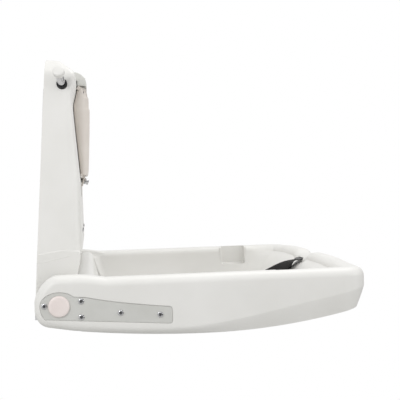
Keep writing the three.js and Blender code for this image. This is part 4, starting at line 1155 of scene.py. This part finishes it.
def makeHinge(name, side):
    foot = bed["half"] - plate["recess"] + 0.3
    top = foot + plate["thick"]
    holes = [rod(2.8, (0, -u, v), (side, 0, 0), foot - 2, top + 2, 20) for u, v in plateScrews]
    leaf = carved(slab(plateOutline(0), side * foot, side * top, 0.5, 3), [("DIFFERENCE", holes)])
    evenShading(settle("hingePlate_" + name, leaf, "hinge_plate_" + name, place=bedPlace))
    f = top + 0.3
    dome = [
        (0, f), (17.5, f), (18, f + 0.5), (18, f + 2.0), (17.7, f + 2.9), (16.8, f + 3.7),
        (15.2, f + 4.3), (12, f + 4.7), (6, f + 4.95), (0, f + 5),
    ]
    settle(
        "hingeCap_" + name, turned(dome, (0, 0, 0), (side, 0, 0), 64), "hinge_cap_" + name,
        place=bedPlace, angle=50,
    )
    heads = [
        ("plate_screw_%s_%d" % (name, i + 1), (side * (top + 0.3), -u, v), (-side, 0, 0))
        for i, (u, v) in enumerate(plateScrews)
    ]
    setScrews(screwShape(8.0), heads, bedPlace)
    for node, label in (
        ("pivot_pin_", "hingePin_"), ("pivot_bush_", "hingeBush_"), ("hinge_damper_", "hingeDamper_")
    ):
        softCopy(node + name, label + name, 0.6)
    softCopy("open_stop_" + name, "openStop_" + name, 1.2)


for name, side in sides:
    makeHinge(name, side)
for level, (x, z) in zip(("lower", "upper"), panel["bosses"]):
    depth = readOff(panel["depths"], z) + 1.5
    heads = [
        ("panel_screw_%s_%s" % (level, name), (side * x, -depth, z), (0, 1, 0)) for name, side in sides
    ]
    setScrews(screwShape(depth - 0.5), heads, wallPlace)
heads = []
for i, (u, side) in enumerate((u, side) for u in (110, 420) for name, side in sides):
    heads.append(
        ("cover_screw_%d" % (i + 1), (side * (bed["half"] - 122.5), -u, underside(u) - 0.6), (0, 0, 1))
    )
setScrews(screwShape(6.5), heads, bedPlace)
softCopy("cross_tube", "crossTube", 0.4)
print("hinge made")


# safety strap: black webbing, twisted between the front rim and the floor, with a buckle
strap = {"wide": 50.0, "thick": 1.8, "socketAt": 144.0, "tongueEnd": 204.4}
webLevel = bedFloor(strap["socketAt"]) + 4.8


def onFloor(u):
    return (u, bedFloor(u) + 2.6, 180)


def between(stations, steps):  # smooth run through stations of distance, height and twist
    ends = [stations[0]] + list(stations) + [stations[-1]]
    route = []
    for a, b, c, d in zip(ends, ends[1:], ends[2:], ends[3:]):
        for t in [i / steps for i in range(steps)]:
            weights = (
                -t + 2 * t**2 - t**3, 2 - 5 * t**2 + 3 * t**3, t + 4 * t**2 - 3 * t**3, t**3 - t**2
            )
            route.append([sum(w * p[k] for w, p in zip(weights, (a, b, c, d))) / 2 for k in range(3)])
    return route + [list(stations[-1])]


def makeStrap(name, node, stations, steps):
    route = between(stations, steps)
    run = [0.0]
    for a, b in zip(route, route[1:]):
        run.append(run[-1] + math.hypot(b[0] - a[0], b[1] - a[1]))
    columns, rows = 10, len(route) - 1
    bm = bmesh.new()
    bmesh.ops.create_grid(bm, x_segments=columns, y_segments=rows, size=1, calc_uvs=False)
    uv = bm.loops.layers.uv.new("webbing")
    for vert in bm.verts:
        row = round((vert.co.y + 1) / 2 * rows)
        across = vert.co.x * (strap["wide"] / 2 - 0.3)
        vert.co = (across, run[row], row)
    for face in bm.faces:
        for loop in face.loops:
            loop[uv].uv = (loop.vert.co.x * milli, loop.vert.co.y * milli)
    for vert in bm.verts:
        row, across = round(vert.co.z), vert.co.x
        u, v, twist = route[row]
        before, after = route[max(0, row - 1)], route[min(rows, row + 1)]
        ahead = Vector((0, before[0] - after[0], after[1] - before[1])).normalized()
        wide = Vector((1, 0, 0))
        wide.rotate(Quaternion(ahead, math.radians(twist)))
        vert.co = Vector((0, -u, v)) + wide * across
    band = baked(bm, [("SOLIDIFY", {"thickness": strap["thick"], "offset": 0.0})])
    piece = settle(name, band, node, place=bedPlace, angle=50)
    return piece


end, level = strap["tongueEnd"], webLevel
twisted = [
    (515, 35.5, 0), (502, 35.5, 0), (491, 34.5, 0), (480, 29, 16), (467, 20, 36), (453, 9, 55),
    (440, -2, 76),
]
twisted += [
    (426, -12, 103), (411, -21, 138), (397, -30.5, 166), onFloor(380), onFloor(340), onFloor(300),
    onFloor(262),
]
frontStrap = makeStrap(
    "frontStrap", "strap_front", twisted + [(end + 4, level - 0.6, 180), (end - 8, level, 180)], 8
)
makeStrap(
    "rearStrap", "strap_rear", [(116, -38.3, 0), (126, -38.9, 0), (138, level, 0), (152, level, 0)], 8
)
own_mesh(frontStrap)
for node, label in (("buckle_socket", "buckleSocket"), ("buckle_tongue", "buckleTongue")):
    softCopy(node, label, 0.9)
for name, side in sides:
    softCopy("buckle_press_" + name, "bucklePress_" + name, 0.8)
softCopy("strap_anchor_front", "anchorFront", 0.8)
softCopy("strap_anchor_rear", "anchorRear", 0.8)
print("strap and buckle made")


# CAD nodes that keep their own shape get their finish
for node, piece in frame["nodes"].items():
    piece.data.materials.clear()
    piece.data.materials.append(finish[slotFinish[slotOf[node]]])
